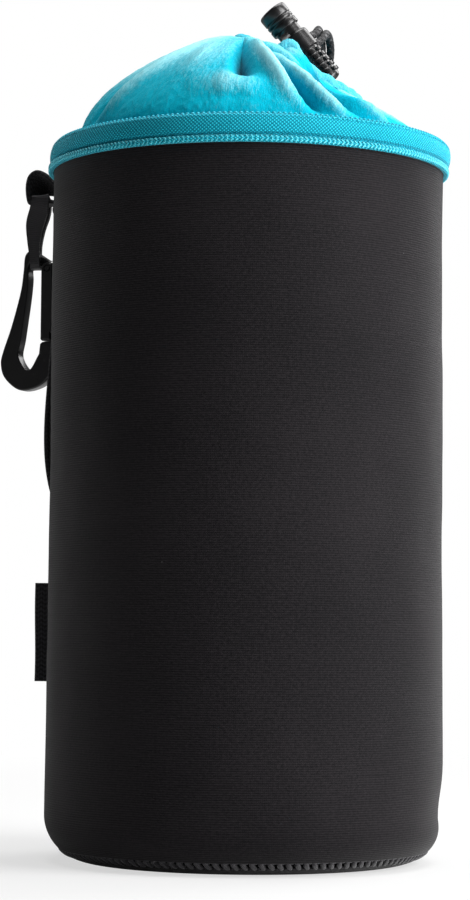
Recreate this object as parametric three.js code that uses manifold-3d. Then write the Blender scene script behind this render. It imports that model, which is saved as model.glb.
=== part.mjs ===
// Padded lens pouch: a round neoprene tube with a fleece lining, a bound rim, a gathered fleece collar
// that a drawcord and a cord lock close, a belt strap, and a small snap hook on a ribbon.
// Millimetres, +Z up. The origin is the middle of the flat bottom; the front of the pouch faces -Y.

import * as THREE from 'three';
import { mergeVertices } from 'three/addons/utils/BufferGeometryUtils.js';
import ManifoldModule from 'manifold-3d';

const wasm = await ManifoldModule();
wasm.setup();

// Sizes shared by every piece

const seatGap = 0.3;               // clearance between pieces that touch
const cutOverrun = 1;              // how far a cutting tool runs past what it cuts
const turn = 2 * Math.PI;

// Pouch body

const bodyRadius = 55;             // outside of the neoprene low down
const rimRadius = 54.5;            // outside of the neoprene under the binding
const bodyTop = 197.2;             // cut top edge of the neoprene
const wallThickness = 3.2;
const liningThickness = 1.6;
const cornerRadius = 12.5;         // turn from the wall into the base
const seamInset = 5;               // of the seam between wall and base panel, in from the outside
const seamSlit = 0.72;             // space between the two sewn edges
const seamNotchDepth = 1.6;        // the edges are skived back for the overlock thread
const seamNotchWidth = 3.1;
const seamThreadRadius = 0.85;
const liningSeamShare = 0.78;      // share of the quarter turn that the wall lining covers

// Binding tape folded over the rim

const bindingThickness = 1;
const bindingOuterDrop = 7.6;      // height of the leg that shows outside
const bindingInnerDrop = 7;        // height of the leg inside
const bindingLipHeight = 1.5;      // brighter lip under the stitch row
const bindingSwell = 0.25;         // how far the tape swells beside the stitch row
const stitchGrooveHeight = 1;
const stitchGrooveDepth = 0.45;
const stitchThreadRadius = 0.28;

// Gathered collar

const collarThickness = 1.6;
const collarTailDepth = 6.5;       // how far the collar runs down inside the binding
const mouthCentreX = 13.5;         // the gathered mouth lies off the axis, towards the lock
const mouthCentreZ = 219.3;
const mouthHalfLength = 16;        // of the hem's middle line, along X
const mouthHalfWidth = 10.5;       // of the hem's middle line, along Y, at the front
const mouthBackHalfWidth = 13.5;   // and at the back
const mouthFall = 15.6;            // how much lower the right end of the mouth lies than the left
const frontLipLift = 2;            // the front of the hem stands up before the lock
const backLipDrop = 3;             // the back of it gives way where the cords pass
const leftLipLift = 1.2;           // the left end of it is pushed up by the cloth
const collarPuff = 15.5;           // how strongly the cloth billows between rim and hem
const foldDepth = 3.4;             // of the main folds

// Drawcord, its lock and its knot

const cordDiameter = 2.4;
const cordSpacing = 2.8;           // between the middles of the two tails
const hemChannelRadius = 1.6;      // of the tunnel that the cord runs in
const hemClothThickness = 1.3;     // the cloth is pulled thin round the cord
const cordExitDegrees = 252;       // where the tails leave the hem, round from +X
const cordExitPlay = 0.45;
const lockTipX = 5.4;
const lockTipY = 0;
const lockTipZ = 238.6;
const cordBackDegrees = 50;        // how far the cord turns to the back as it passes the lock
const lockLeanDegrees = 50;        // of the lock's axis below the horizontal, falling to the right
const lockHeadLength = 7.2;
const lockHeadRadius = 4.2;
const lockBarrelLength = 16.8;
const lockBarrelRadius = 4.4;
const lockGrooveDepth = 0.6;       // grip grooves round the barrel
const lockRibPitch = 1.8;
const lockRibCount = 6;
const lockFluteCount = 10;
const lockFluteWidth = 0.9;
const lockBoreRadius = 3;
const lockFloor = 1.6;
const lockSlotDrop = 3.6;          // from the barrel's top to the middle of the cord slot
const lockSlotLength = 6;
const lockSlotWidth = 3.1;
const plungerTravel = 2.2;         // of the button into the barrel
const plungerPlay = 0.3;
const plungerFoot = 1.8;           // solid foot under the plunger's slot
const lockSpringWire = 0.5;
const lockSpringTurns = 5;
const knotRadius = 3.9;
const knotLength = 9;
const cordEndLength = 9;

// Belt strap on the left of the back

const strapAzimuth = 153;          // degrees round from +X
const strapWidth = 25;
const strapThickness = 1.5;
const strapTop = 190.2;
const strapBottom = 88;
const strapBulge = 3.2;            // slack for the belt
const strapTackHeight = 11;        // sewn length at each end
const tackRise = 0.7;              // bar tacks of thick thread
const tackHeight = 2;
const tackMargin = 2;
const tackEndShare = 0.6;

// Hanger loop, ribbon and snap hook

const hangerAzimuth = 158;
const hangerWidth = 9;
const hangerThickness = 1.2;
const hangerReach = 11.3;          // how far the loop stands out from the strap
const hangerHeight = 10.6;
const hangerTop = 196;
const hangerTabLength = 8;
const ribbonWidth = 4.8;
const ribbonThickness = 0.9;
const ribbonHold = 6.8;            // from the hanger's seat out to the middle of the tape's high run
const ribbonReach = 7.1;           // from the hook's near side out to the middle of its low run
const hookLength = 41;
const hookWidth = 17.4;
const hookDepth = 4;
const hookBottom = 132.2;
const hookStandoff = 1.8;          // from the strap's face out to the hook
const hookBevel = 0.5;
const noseLip = 2.2;               // lip that stops the gate from swinging out
const noseLipWidth = 1.1;
const ribbonDrop = 1.3;            // from the hook's bar down to the ribbon
const gateWidth = 4;
const gatePinRadius = 0.8;
const gatePinPlay = 0.3;
const gateTongue = 1.7;            // thickness of the tongue between the gate's cheeks
const gateSpringWire = 0.3;
const gateSpringRadius = 0.6;
const gateSpringTurns = 4;
const gateBoreDepth = 6;

// Side tag

const tagAzimuth = 177;
const tagTop = 76.3;
const tagHeight = 27.4;
const tagReach = 3.9;
const tagThickness = 1.2;
const tagRoot = 1.4;               // how deep the tag sits in the seam
const tagCorner = 1.2;

// Facet counts

const roundSteps = 60;
const innerRoundSteps = 40;
const hookOuterSteps = 40;
const hookInnerSteps = 32;

// Finishes

const finishes = {
  neoprene: { color: 0x1f1d20, roughness: 0.85, metalness: 0 },
  fleece: { color: 0x12a0c4, roughness: 1, metalness: 0 },
  binding: { color: 0x0f9fc2, roughness: 0.8, metalness: 0 },
  turquoiseThread: { color: 0x19b4d6, roughness: 0.6, metalness: 0 },
  blackThread: { color: 0x26242a, roughness: 0.6, metalness: 0 },
  webbing: { color: 0x17161a, roughness: 0.8, metalness: 0 },
  ribbon: { color: 0x2a292d, roughness: 0.6, metalness: 0 },
  cord: { color: 0x141416, roughness: 0.6, metalness: 0 },
  plastic: { color: 0x18181a, roughness: 0.35, metalness: 0 },
  hookMetal: { color: 0x1b1b1e, roughness: 0.3, metalness: 0.7 },
  steel: { color: 0x9a9ca0, roughness: 0.3, metalness: 1 },
};

const pouch = new THREE.Group();

// Helpers

function addPiece(name, geometry, finish, parent = pouch) {
  const piece = new THREE.Mesh(geometry, new THREE.MeshStandardMaterial(finishes[finish]));
  piece.name = name;
  parent.add(piece);
  return piece;
}

function degrees(angle) {
  return THREE.MathUtils.degToRad(angle);
}

// Points of a circular arc in a profile of (radius, height)
function arc(centreR, centreZ, radius, fromDegrees, toDegrees, steps) {
  const points = [];
  for (let i = 0; i <= steps; i += 1) {
    const angle = degrees(THREE.MathUtils.lerp(fromDegrees, toDegrees, i / steps));
    points.push(new THREE.Vector2(centreR + radius * Math.cos(angle), centreZ + radius * Math.sin(angle)));
  }
  return points;
}

function point2(r, z) {
  return new THREE.Vector2(r, z);
}

function polarPoint(centreR, centreZ, radius, angle) {
  return arc(centreR, centreZ, radius, angle, angle, 1)[0];
}

// Body of revolution about Z; the profile runs anticlockwise, up the outside and down the inside
function revolve(profile, steps) {
  const points = profile.slice();
  if (points[0].x > 0) {
    points.push(points[0].clone());
  }
  return new THREE.LatheGeometry(points, steps).rotateX(Math.PI / 2);
}

// Closed body through a row of sections, each a ring of as many points;
// the row is capped at its ends, or closed into a ring
function loft(sections, closed = false) {
  const ringSize = sections[0].length;
  const count = sections.length;
  const positions = [];
  const faces = [];
  sections.forEach((ring) => ring.forEach((p) => positions.push(p.x, p.y, p.z)));
  const rows = closed ? count : count - 1;
  for (let i = 0; i < rows; i += 1) {
    const here = i * ringSize;
    const next = ((i + 1) % count) * ringSize;
    for (let j = 0; j < ringSize; j += 1) {
      const k = (j + 1) % ringSize;
      faces.push(here + j, here + k, next + k, here + j, next + k, next + j);
    }
  }
  if (!closed) {
    capRing(positions, faces, sections[0], 0, true);
    capRing(positions, faces, sections[count - 1], (count - 1) * ringSize, false);
  }
  const geometry = new THREE.BufferGeometry();
  geometry.setAttribute('position', new THREE.Float32BufferAttribute(positions, 3));
  geometry.setIndex(enclosedVolume(positions, faces) < 0 ? faces.reverse() : faces);
  return geometry;
}

// Signed volume inside a closed mesh, negative where its faces point inwards
function enclosedVolume(positions, faces) {
  const corners = [new THREE.Vector3(), new THREE.Vector3(), new THREE.Vector3()];
  let volume = 0;
  for (let i = 0; i < faces.length; i += 3) {
    corners.forEach((corner, k) => corner.fromArray(positions, 3 * faces[i + k]));
    volume += corners[0].dot(corners[1].clone().cross(corners[2])) / 6;
  }
  return volume;
}

function capRing(positions, faces, ring, first, flip) {
  const centre = new THREE.Vector3();
  ring.forEach((p) => centre.add(p));
  centre.divideScalar(ring.length);
  const hub = positions.length / 3;
  positions.push(centre.x, centre.y, centre.z);
  for (let j = 0; j < ring.length; j += 1) {
    const a = first + j;
    const b = first + ((j + 1) % ring.length);
    faces.push(hub, flip ? b : a, flip ? a : b);
  }
}

function toSolid(geometry) {
  const bare = geometry.clone();
  bare.deleteAttribute('normal');
  bare.deleteAttribute('uv');
  const merged = mergeVertices(bare, 1e-4);
  return new wasm.Manifold(new wasm.Mesh({
    numProp: 3,
    vertProperties: new Float32Array(merged.attributes.position.array),
    triVerts: new Uint32Array(merged.index.array),
  }));
}

function fromSolid(solid) {
  const result = solid.getMesh();
  const geometry = new THREE.BufferGeometry();
  geometry.setAttribute('position', new THREE.Float32BufferAttribute(result.vertProperties, 3));
  geometry.setIndex(Array.from(result.triVerts));
  return geometry;
}

// One body with others joined to it and tools taken out of it
function combine(geometry, joined, tools) {
  let solid = toSolid(geometry);
  joined.forEach((other) => {
    solid = solid.add(toSolid(other));
  });
  tools.forEach((tool) => {
    solid = solid.subtract(toSolid(tool));
  });
  return fromSolid(solid);
}

function cut(geometry, tools) {
  return combine(geometry, [], tools);
}

// Round cord along a route of points
function cordAlong(points, diameter, sides, steps) {
  const section = new THREE.Shape();
  for (let i = 0; i < sides; i += 1) {
    const angle = (i / sides) * turn;
    const x = (diameter / 2) * Math.cos(angle);
    const y = (diameter / 2) * Math.sin(angle);
    if (i === 0) {
      section.moveTo(x, y);
    } else {
      section.lineTo(x, y);
    }
  }
  const route = new THREE.CatmullRomCurve3(points, false, 'centripetal');
  return new THREE.ExtrudeGeometry(section, { steps, extrudePath: route, bevelEnabled: false });
}

// Helical spring with its axis on Z, standing on zero
function coil(wire, radius, length, turns) {
  const stepsPerTurn = 8;
  const points = [];
  for (let i = 0; i <= turns * stepsPerTurn; i += 1) {
    const angle = (i / stepsPerTurn) * turn;
    const z = wire / 2 + (length - wire) * (i / (turns * stepsPerTurn));
    points.push(new THREE.Vector3(radius * Math.cos(angle), radius * Math.sin(angle), z));
  }
  const sides = 5;
  const sections = points.map((p, i) => {
    const angle = (i / stepsPerTurn) * turn;
    const out = new THREE.Vector3(Math.cos(angle), Math.sin(angle), 0);
    const ring = [];
    for (let j = 0; j < sides; j += 1) {
      const a = (j / sides) * turn;
      ring.push(p.clone().addScaledVector(out, (wire / 2) * Math.cos(a)).setZ(p.z + (wire / 2) * Math.sin(a)));
    }
    return ring;
  });
  let least = Infinity;
  for (let i = 0; i < points.length; i += 1) {
    for (let j = i + stepsPerTurn / 2; j < points.length; j += 1) {
      least = Math.min(least, points[i].distanceTo(points[j]) - wire);
    }
  }
  console.log(`spring of ${turns} turns: least gap to itself ${least.toFixed(2)} mm`);
  return loft(sections);
}

function wallRadiusAt(z) {
  const share = THREE.MathUtils.clamp((z - cornerRadius) / (bodyTop - cornerRadius), 0, 1);
  return THREE.MathUtils.lerp(bodyRadius, rimRadius, share);
}

// Neoprene wall, base panel and the overlock seam between them

const cornerCentreR = bodyRadius - cornerRadius;
const seamAngle = -THREE.MathUtils.radToDeg(Math.acos((cornerRadius - seamInset) / cornerRadius));
const slitHalf = THREE.MathUtils.radToDeg(seamSlit / 2 / (cornerRadius - seamNotchDepth));
const notchHalf = THREE.MathUtils.radToDeg(seamNotchWidth / 2 / cornerRadius);
const innerCornerRadius = cornerRadius - wallThickness;
const notchRadius = cornerRadius - seamNotchDepth;

const wallProfile = [
  polarPoint(cornerCentreR, cornerRadius, notchRadius, seamAngle + slitHalf),
  ...arc(cornerCentreR, cornerRadius, cornerRadius, seamAngle + notchHalf, 0, 4),
  point2(rimRadius, bodyTop),
  point2(rimRadius - wallThickness, bodyTop),
  ...arc(cornerCentreR, cornerRadius, innerCornerRadius, 0, seamAngle + slitHalf, 4),
];

const tagSlot = new THREE.BoxGeometry(
  tagRoot + seatGap + cutOverrun, tagThickness + 2 * seatGap, tagHeight + 2 * seatGap,
);
const tagMiddle = tagTop - tagHeight / 2;
tagSlot.translate(wallRadiusAt(tagMiddle) - (tagRoot + seatGap - cutOverrun) / 2, 0, tagMiddle);
tagSlot.rotateZ(degrees(tagAzimuth));
addPiece('neoprene_wall', cut(revolve(wallProfile, roundSteps), [tagSlot]), 'neoprene');

const panelProfile = [
  point2(0, 0),
  ...arc(cornerCentreR, cornerRadius, cornerRadius, -90, seamAngle - notchHalf, 3),
  polarPoint(cornerCentreR, cornerRadius, notchRadius, seamAngle - slitHalf),
  ...arc(cornerCentreR, cornerRadius, innerCornerRadius, seamAngle - slitHalf, -90, 3),
  point2(0, wallThickness),
];
addPiece('base_panel', revolve(panelProfile, roundSteps), 'neoprene');

const threadReach = cornerRadius - seamThreadRadius / 8;
const seamThread = new THREE.TorusGeometry(
  cornerCentreR + threadReach * Math.cos(degrees(seamAngle)), seamThreadRadius, 6, roundSteps,
);
seamThread.translate(0, 0, cornerRadius + threadReach * Math.sin(degrees(seamAngle)));
addPiece('base_seam_thread', seamThread, 'blackThread');

// Fleece lining of the wall and of the base

const liningOuterCorner = innerCornerRadius - seatGap;
const liningInnerCorner = liningOuterCorner - liningThickness;
const liningSeamAngle = -90 * liningSeamShare;
const liningSlit = THREE.MathUtils.radToDeg(seatGap / liningInnerCorner);
const liningOuterRim = rimRadius - wallThickness - seatGap;
const liningInnerRim = liningOuterRim - liningThickness;

addPiece('wall_lining', revolve([
  ...arc(cornerCentreR, cornerRadius, liningOuterCorner, liningSeamAngle, 0, 4),
  point2(liningOuterRim, bodyTop),
  point2(liningInnerRim, bodyTop),
  ...arc(cornerCentreR, cornerRadius, liningInnerCorner, 0, liningSeamAngle, 4),
], innerRoundSteps), 'fleece');

addPiece('base_lining', revolve([
  point2(0, wallThickness + seatGap),
  ...arc(cornerCentreR, cornerRadius, liningOuterCorner, -90, liningSeamAngle - liningSlit, 2),
  ...arc(cornerCentreR, cornerRadius, liningInnerCorner, liningSeamAngle - liningSlit, -90, 2),
  point2(0, wallThickness + seatGap + liningThickness),
], innerRoundSteps), 'fleece');

// Binding tape over the rim, with its row of stitching

const bindingInside = rimRadius + seatGap;
const bindingOutside = bindingInside + bindingThickness;
const bindingCrown = bodyTop + seatGap + bindingThickness;
const bindingLow = bindingCrown - bindingOuterDrop;
const grooveLow = bindingLow + bindingLipHeight;
const grooveHigh = grooveLow + stitchGrooveHeight;
const legOutside = liningInnerRim - seatGap;
const legInside = legOutside - bindingThickness;

addPiece('rim_binding', revolve([
  point2(bindingInside, bindingLow),
  point2(bindingOutside, bindingLow),
  point2(bindingOutside + bindingSwell, (bindingLow + grooveLow) / 2),
  point2(bindingOutside, grooveLow),
  point2(bindingOutside - stitchGrooveDepth, (grooveLow + grooveHigh) / 2),
  point2(bindingOutside, grooveHigh),
  point2(bindingOutside + bindingSwell, (grooveHigh + bindingCrown) / 2),
  ...arc(bindingOutside - bindingThickness, bindingCrown - bindingThickness, bindingThickness, 0, 90, 2),
  ...arc(legInside + bindingThickness, bindingCrown - bindingThickness, bindingThickness, 90, 180, 2),
  point2(legInside, bindingCrown - bindingInnerDrop),
  point2(legOutside, bindingCrown - bindingInnerDrop),
  point2(legOutside, bodyTop + seatGap),
  point2(bindingInside, bodyTop + seatGap),
], roundSteps), 'binding');

const threadRing = bindingOutside - stitchGrooveDepth + seatGap + stitchThreadRadius;
const stitchRow = new THREE.TorusGeometry(threadRing, stitchThreadRadius, 5, roundSteps);
stitchRow.translate(0, 0, (grooveLow + grooveHigh) / 2);
addPiece('binding_thread', stitchRow, 'turquoiseThread');

// Gathered fleece collar
// A place on it has a rim angle, in degrees round from +X, and a share of the way from rim to hem.

const collarFoot = legInside - seatGap;            // outside of the cloth inside the binding
const hemRollRadius = hemChannelRadius + hemClothThickness;

// The cloth leaves the rim and reaches the hem along handles, given as shares of the collar's puff:
// outwards and up from the rim, then outwards and up from the hem
const leftHandleShares = [0.01, 0.79, 0.9, 0.065];
const rightHandleShares = [0.04, 0.11, 0.41, -0.505];
const middleHandleShares = [0.035, 0.7, 0.66, 0.435];

// Main folds: rim angle and half width in degrees, depth as a share of the fold depth (valleys are
// negative), and the shares of the way to the hem where the fold starts, is deepest and ends
const collarFoldShares = [
  [198, 8, 0.3, 0, 0.5, 1],
  [212, 7, -0.65, 0.05, 0.6, 1],
  [226, 7, 0.35, 0.1, 0.6, 1],
  [246, 7, -1, 0.35, 0.74, 1],
  [266, 15, 0.3, 0, 0.5, 1],
  [290, 4.6, 0.85, 0.02, 0.5, 1],
  [298, 4.6, -1, 0.02, 0.5, 1],
  [306, 4.8, 0.75, 0.02, 0.5, 1],
  [318, 6, -0.7, 0.02, 0.5, 1],
  [331, 7, 0.35, 0.02, 0.5, 1],
  [350, 9, -0.5, 0.05, 0.55, 1],
  [12, 9, 0.35, 0, 0.5, 1],
  [33, 9, -0.8, 0.05, 0.55, 1],
  [55, 9, 0.65, 0, 0.5, 1],
  [76, 9, -0.8, 0.05, 0.55, 1],
  [97, 9, 0.65, 0, 0.5, 1],
  [118, 9, -0.8, 0.05, 0.55, 1],
  [139, 9, 0.65, 0, 0.5, 1],
  [160, 9, -0.4, 0.05, 0.55, 1],
  [179, 8, 0.2, 0, 0.5, 1],
];

// Degrees round the hem: where its front lip stands up, how wide that is, and how far the cloth of the
// front right is drawn round towards the lock, and over what width
const frontLipAt = 262;
const frontLipSpread = 24;
const gatherShift = 52;
const gatherMiddle = 300;
const gatherSpread = 75;

function angleApart(a, b) {
  return ((a - b + 540) % 360) - 180;
}

// Bell from 1 at a middle angle down to 0 on either side
function bell(angle, middle, spread, power = 2) {
  return Math.exp(-Math.pow(Math.abs(angleApart(angle, middle)) / spread, power));
}

function foldAt(angle, along) {
  let sum = 0;
  collarFoldShares.forEach(([middle, width, depthShare, startShare, peakShare, endShare]) => {
    const rise = THREE.MathUtils.clamp((along - startShare) / (peakShare - startShare), 0, 1);
    const fall = THREE.MathUtils.clamp((endShare - along) / (endShare - peakShare), 0, 1);
    const grow = Math.sin((Math.min(rise, fall) * Math.PI) / 2);
    sum += depthShare * bell(angle, middle, width, 1.7) * grow;
  });
  return foldDepth * sum;
}

function hemAngle(angle) {
  return angle - gatherShift * bell(angle, gatherMiddle, gatherSpread);
}

// Middle line of the hem: an oval that falls to the right, with its front raised and its back dropped
function hemLine(hemDegrees) {
  const a = degrees(hemDegrees);
  const back = Math.max(0, Math.sin(a));
  const left = Math.max(0, -Math.cos(a));
  const lift = frontLipLift * bell(hemDegrees, frontLipAt, frontLipSpread) + leftLipLift * left * left;
  return new THREE.Vector3(
    mouthCentreX + mouthHalfLength * Math.cos(a),
    (back > 0 ? mouthBackHalfWidth : mouthHalfWidth) * Math.sin(a),
    mouthCentreZ - (mouthFall / 2) * Math.cos(a) - backLipDrop * back * back + lift,
  );
}

// Middle layer of the cloth before its folds: a cubic curve from the rim up to the hem
function smoothPoint(angle, along) {
  const a = degrees(angle);
  const out = new THREE.Vector3(Math.cos(a), Math.sin(a), 0);
  const leftShare = Math.pow(Math.max(0, -Math.cos(a)), 2);
  const rightShare = Math.pow(Math.max(0, Math.cos(a)), 2);
  const [rimOut, rimUp, hemOut, hemUp] = middleHandleShares.map((middle, k) => collarPuff * (
    middle * (1 - leftShare - rightShare) + leftHandleShares[k] * leftShare + rightHandleShares[k] * rightShare
  ));
  const foot = out.clone().multiplyScalar(collarFoot - collarThickness / 2).setZ(bindingCrown);
  const top = hemLine(hemAngle(angle));
  const first = foot.clone().addScaledVector(out, rimOut);
  first.z += rimUp;
  const second = top.clone().addScaledVector(out, hemOut);
  second.z += hemUp;
  return new THREE.CubicBezierCurve3(foot, first, second, top).getPoint(along);
}

function normalTo(pointAt, angle, along) {
  const step = 0.01;
  const du = pointAt(angle, Math.min(1, along + step)).sub(pointAt(angle, Math.max(0, along - step)));
  const dv = pointAt(angle + 1, along).sub(pointAt(angle - 1, along));
  return dv.cross(du).normalize();
}

function clothPoint(angle, along) {
  const lift = foldAt(angle, along);
  return smoothPoint(angle, along).addScaledVector(normalTo(smoothPoint, angle, along), lift);
}

const clothShares = [0.06, 0.2, 0.35, 0.5, 0.65, 0.8, 0.92];
const hemRollDegrees = [-20, 31, 82, 133, 184, 235];

function collarSection(angle) {
  const a = degrees(angle);
  const outward = new THREE.Vector3(Math.cos(a), Math.sin(a), 0);
  const up = new THREE.Vector3(0, 0, 1);
  const outside = [];
  const inside = [];
  [bindingCrown - collarTailDepth, bindingCrown - seatGap].forEach((z) => {
    outside.push(outward.clone().multiplyScalar(collarFoot).setZ(z));
    inside.push(outward.clone().multiplyScalar(collarFoot - collarThickness).setZ(z));
  });
  clothShares.forEach((along) => {
    const p = clothPoint(angle, along);
    const n = normalTo(clothPoint, angle, along);
    outside.push(p.clone().addScaledVector(n, collarThickness / 2));
    inside.push(p.clone().addScaledVector(n, -collarThickness / 2));
  });
  // The hem rolls inwards round the cord and ends in a free flap
  const middle = hemLine(hemAngle(angle));
  const b = degrees(hemAngle(angle));
  const away = new THREE.Vector3(
    Math.cos(b) * mouthHalfWidth, Math.sin(b) * mouthHalfLength, 0,
  ).normalize();
  const rollOut = [];
  const rollIn = [];
  hemRollDegrees.forEach((deg) => {
    const w = degrees(deg);
    const dir = away.clone().multiplyScalar(Math.cos(w)).addScaledVector(up, Math.sin(w));
    rollOut.push(middle.clone().addScaledVector(dir, hemRollRadius));
    rollIn.push(middle.clone().addScaledVector(dir, hemChannelRadius));
  });
  return [...outside, ...rollOut, ...rollIn.reverse(), ...inside.reverse()];
}

// Sections lie closer together where the front's narrow folds are
const collarStepDegrees = 8;
const collarFineStepDegrees = 4;
const fineFromDegrees = 184;
const fineToDegrees = 344;
const collarSections = [];
for (let angle = 0; angle < 360;) {
  collarSections.push(collarSection(angle));
  angle += angle >= fineFromDegrees && angle < fineToDegrees ? collarFineStepDegrees : collarStepDegrees;
}

// Frame of the cord lock: its axis points to the button's end, its X axis follows the cord
const lean = degrees(lockLeanDegrees);
const lockAxis = new THREE.Vector3(-Math.cos(lean), 0, Math.sin(lean));
const cordAcross = new THREE.Vector3(Math.sin(lean), 0, Math.cos(lean));
const cordWay = cordAcross.multiplyScalar(Math.cos(degrees(cordBackDegrees)));
cordWay.y = Math.sin(degrees(cordBackDegrees));
const lockSide = new THREE.Vector3().crossVectors(lockAxis, cordWay);
const lockNeckLength = plungerTravel + seatGap;
const lockLength = lockBarrelLength + lockNeckLength + lockHeadLength;
const lockTip = new THREE.Vector3(lockTipX, lockTipY, lockTipZ);
const lockGroup = new THREE.Group();
lockGroup.quaternion.setFromRotationMatrix(new THREE.Matrix4().makeBasis(cordWay, lockSide, lockAxis));
lockGroup.position.copy(lockTip).addScaledVector(lockAxis, -lockLength);
pouch.add(lockGroup);
const slotMiddle = lockBarrelLength - lockSlotDrop;
const slotPlace = lockGroup.position.clone().addScaledVector(lockAxis, slotMiddle);

// Buttonhole in the hem, towards the lock
const exitPlace = hemLine(cordExitDegrees);
const exitAlong = hemLine(cordExitDegrees + 1).sub(exitPlace).normalize();
const exitWay = slotPlace.clone().addScaledVector(cordWay, -lockBarrelRadius).sub(exitPlace).normalize();
const exitAcross = new THREE.Vector3().crossVectors(exitWay, exitAlong).normalize();
const exitSpan = new THREE.Vector3().crossVectors(exitAcross, exitWay);
const holeLength = hemRollRadius + cutOverrun;
const buttonhole = new THREE.BoxGeometry(
  cordSpacing + cordDiameter + 2 * cordExitPlay, cordDiameter + 2 * cordExitPlay, holeLength,
);
buttonhole.translate(0, 0, holeLength / 2);
buttonhole.applyMatrix4(new THREE.Matrix4().makeBasis(exitSpan, exitAcross, exitWay).setPosition(exitPlace));
addPiece('fleece_collar', cut(loft(collarSections, true), [buttonhole]), 'fleece');

// Drawcord: the stretch in the hem, and the two tails

const cordSides = 8;
const exitHalfDegrees = THREE.MathUtils.radToDeg(
  ((cordSpacing + cordDiameter) / 2 + seatGap) / mouthHalfLength,
);
const loopSteps = 30;
const loopPoints = [];
for (let i = 0; i <= loopSteps; i += 1) {
  const share = i / loopSteps;
  loopPoints.push(hemLine(cordExitDegrees + exitHalfDegrees + share * (360 - 2 * exitHalfDegrees)));
}
addPiece('drawcord_loop', cordAlong(loopPoints, cordDiameter, cordSides, loopSteps), 'cord');

// Middle between the two tails, and the direction from it to the lower tail, point by point:
// out of the hem, straight through the lock, over and down behind it, down the back of the collar,
// over the binding and down the back of the wall to the knot
const tailRoute = [
  [8.56, -9.99, 223.5, 0.87, -0.19, -0.46],
  [9.9, -6.7, 225, 0.76, -0.1, -0.64],
  [11.89, -3.29, 226.64, 0.643, 0, -0.766],
  [14, 0, 228.41, 0.643, 0, -0.766],
  [16.46, 3.83, 230.48, 0.643, 0, -0.766],
  [18.9, 7.66, 232.7, 0.643, 0, -0.766],
  [20, 10.6, 234.6, 0.7, -0.1, -0.7],
  [20.6, 13.6, 235.5, 0.85, -0.2, -0.4],
  [21.3, 16.6, 234.6, 0.95, -0.1, -0.25],
  [21.8, 18.8, 231.6, 0.99, 0, -0.1],
  [22.1, 20.4, 227.2, 1, 0, 0],
  [22.4, 22.2, 222.4, 1, 0, 0],
  [22.8, 24.8, 218.4, 1, 0, 0],
  [22.9, 28.4, 215.7, 1, 0, 0],
  [22.8, 32.4, 213.8, 1, 0, 0],
  [22.6, 36.4, 211.8, 1, 0, 0],
  [22.2, 40.4, 209.1, 1, -0.1, 0],
  [21.7, 44.2, 205.7, 1, -0.2, 0],
  [21.1, 47.8, 202.5, 1, -0.3, 0],
  [20.6, 51.2, 200.5, 1, -0.36, 0],
  [20.2, 53.5, 198, 1, -0.38, 0],
  [20, 54.3, 195, 1, -0.38, 0],
  [20, 54.2, 191, 1, -0.38, 0],
  [20, 53.6, 187, 1, -0.38, 0],
  [20, 52.9, 182, 1, -0.38, 0],
  [20, 52.7, 176, 1, -0.38, 0],
  [20, 52.7, 166, 1, -0.38, 0],
  [20, 52.7, 156, 1, -0.38, 0],
  [20, 53, 148, 1, -0.38, 0],
  [20, 54.2, 142, 1, -0.38, 0],
  [20, 55.4, 137, 1, -0.38, 0],
];

function tailPoints(side) {
  return tailRoute.map(([x, y, z, sideX, sideY, sideZ]) => {
    const across = new THREE.Vector3(sideX, sideY, sideZ).normalize();
    return new THREE.Vector3(x, y, z).addScaledVector(across, (side * cordSpacing) / 2);
  });
}

const tailSteps = 38;
addPiece('drawcord_tail_upper', cordAlong(tailPoints(-1), cordDiameter, cordSides, tailSteps), 'cord');
addPiece('drawcord_tail_lower', cordAlong(tailPoints(1), cordDiameter, cordSides, tailSteps), 'cord');

// Knot that joins the tails, with their two short ends below it
// Outline as shares of the knot's radius and of its length, from the bottom up
const knotOutlineShares = [
  [0.5, 0.03], [0.86, 0.16], [1, 0.34], [0.86, 0.5], [0.97, 0.66], [0.82, 0.86], [0.55, 0.98],
];
const knotProfile = [point2(0, 0)];
knotOutlineShares.forEach(([radiusShare, heightShare]) => {
  knotProfile.push(point2(knotRadius * radiusShare, knotLength * heightShare));
});
knotProfile.push(point2(0, knotLength));
const knot = revolve(knotProfile, 12);
const cordEnds = [-1, 1].map((side) => {
  const reach = (side * cordSpacing) / 2;
  return cordAlong([
    new THREE.Vector3(reach, 0, knotLength / 4),
    new THREE.Vector3(reach, 0, -cordEndLength / 4),
    new THREE.Vector3(reach * 1.5, 0, -cordEndLength * 0.6),
    new THREE.Vector3(reach * 1.8, 0, -cordEndLength - side * cordDiameter * 0.5),
  ], cordDiameter, cordSides, 4);
});
const tailEnd = tailRoute[tailRoute.length - 1];
const cordKnot = addPiece('cord_knot', combine(knot, cordEnds, []), 'cord');
cordKnot.rotation.z = -Math.atan2(tailEnd[0], tailEnd[1]);
cordKnot.position.set(tailEnd[0], tailEnd[1], tailEnd[2] - knotLength - seatGap);

// Cord lock: barrel, button and spring

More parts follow.
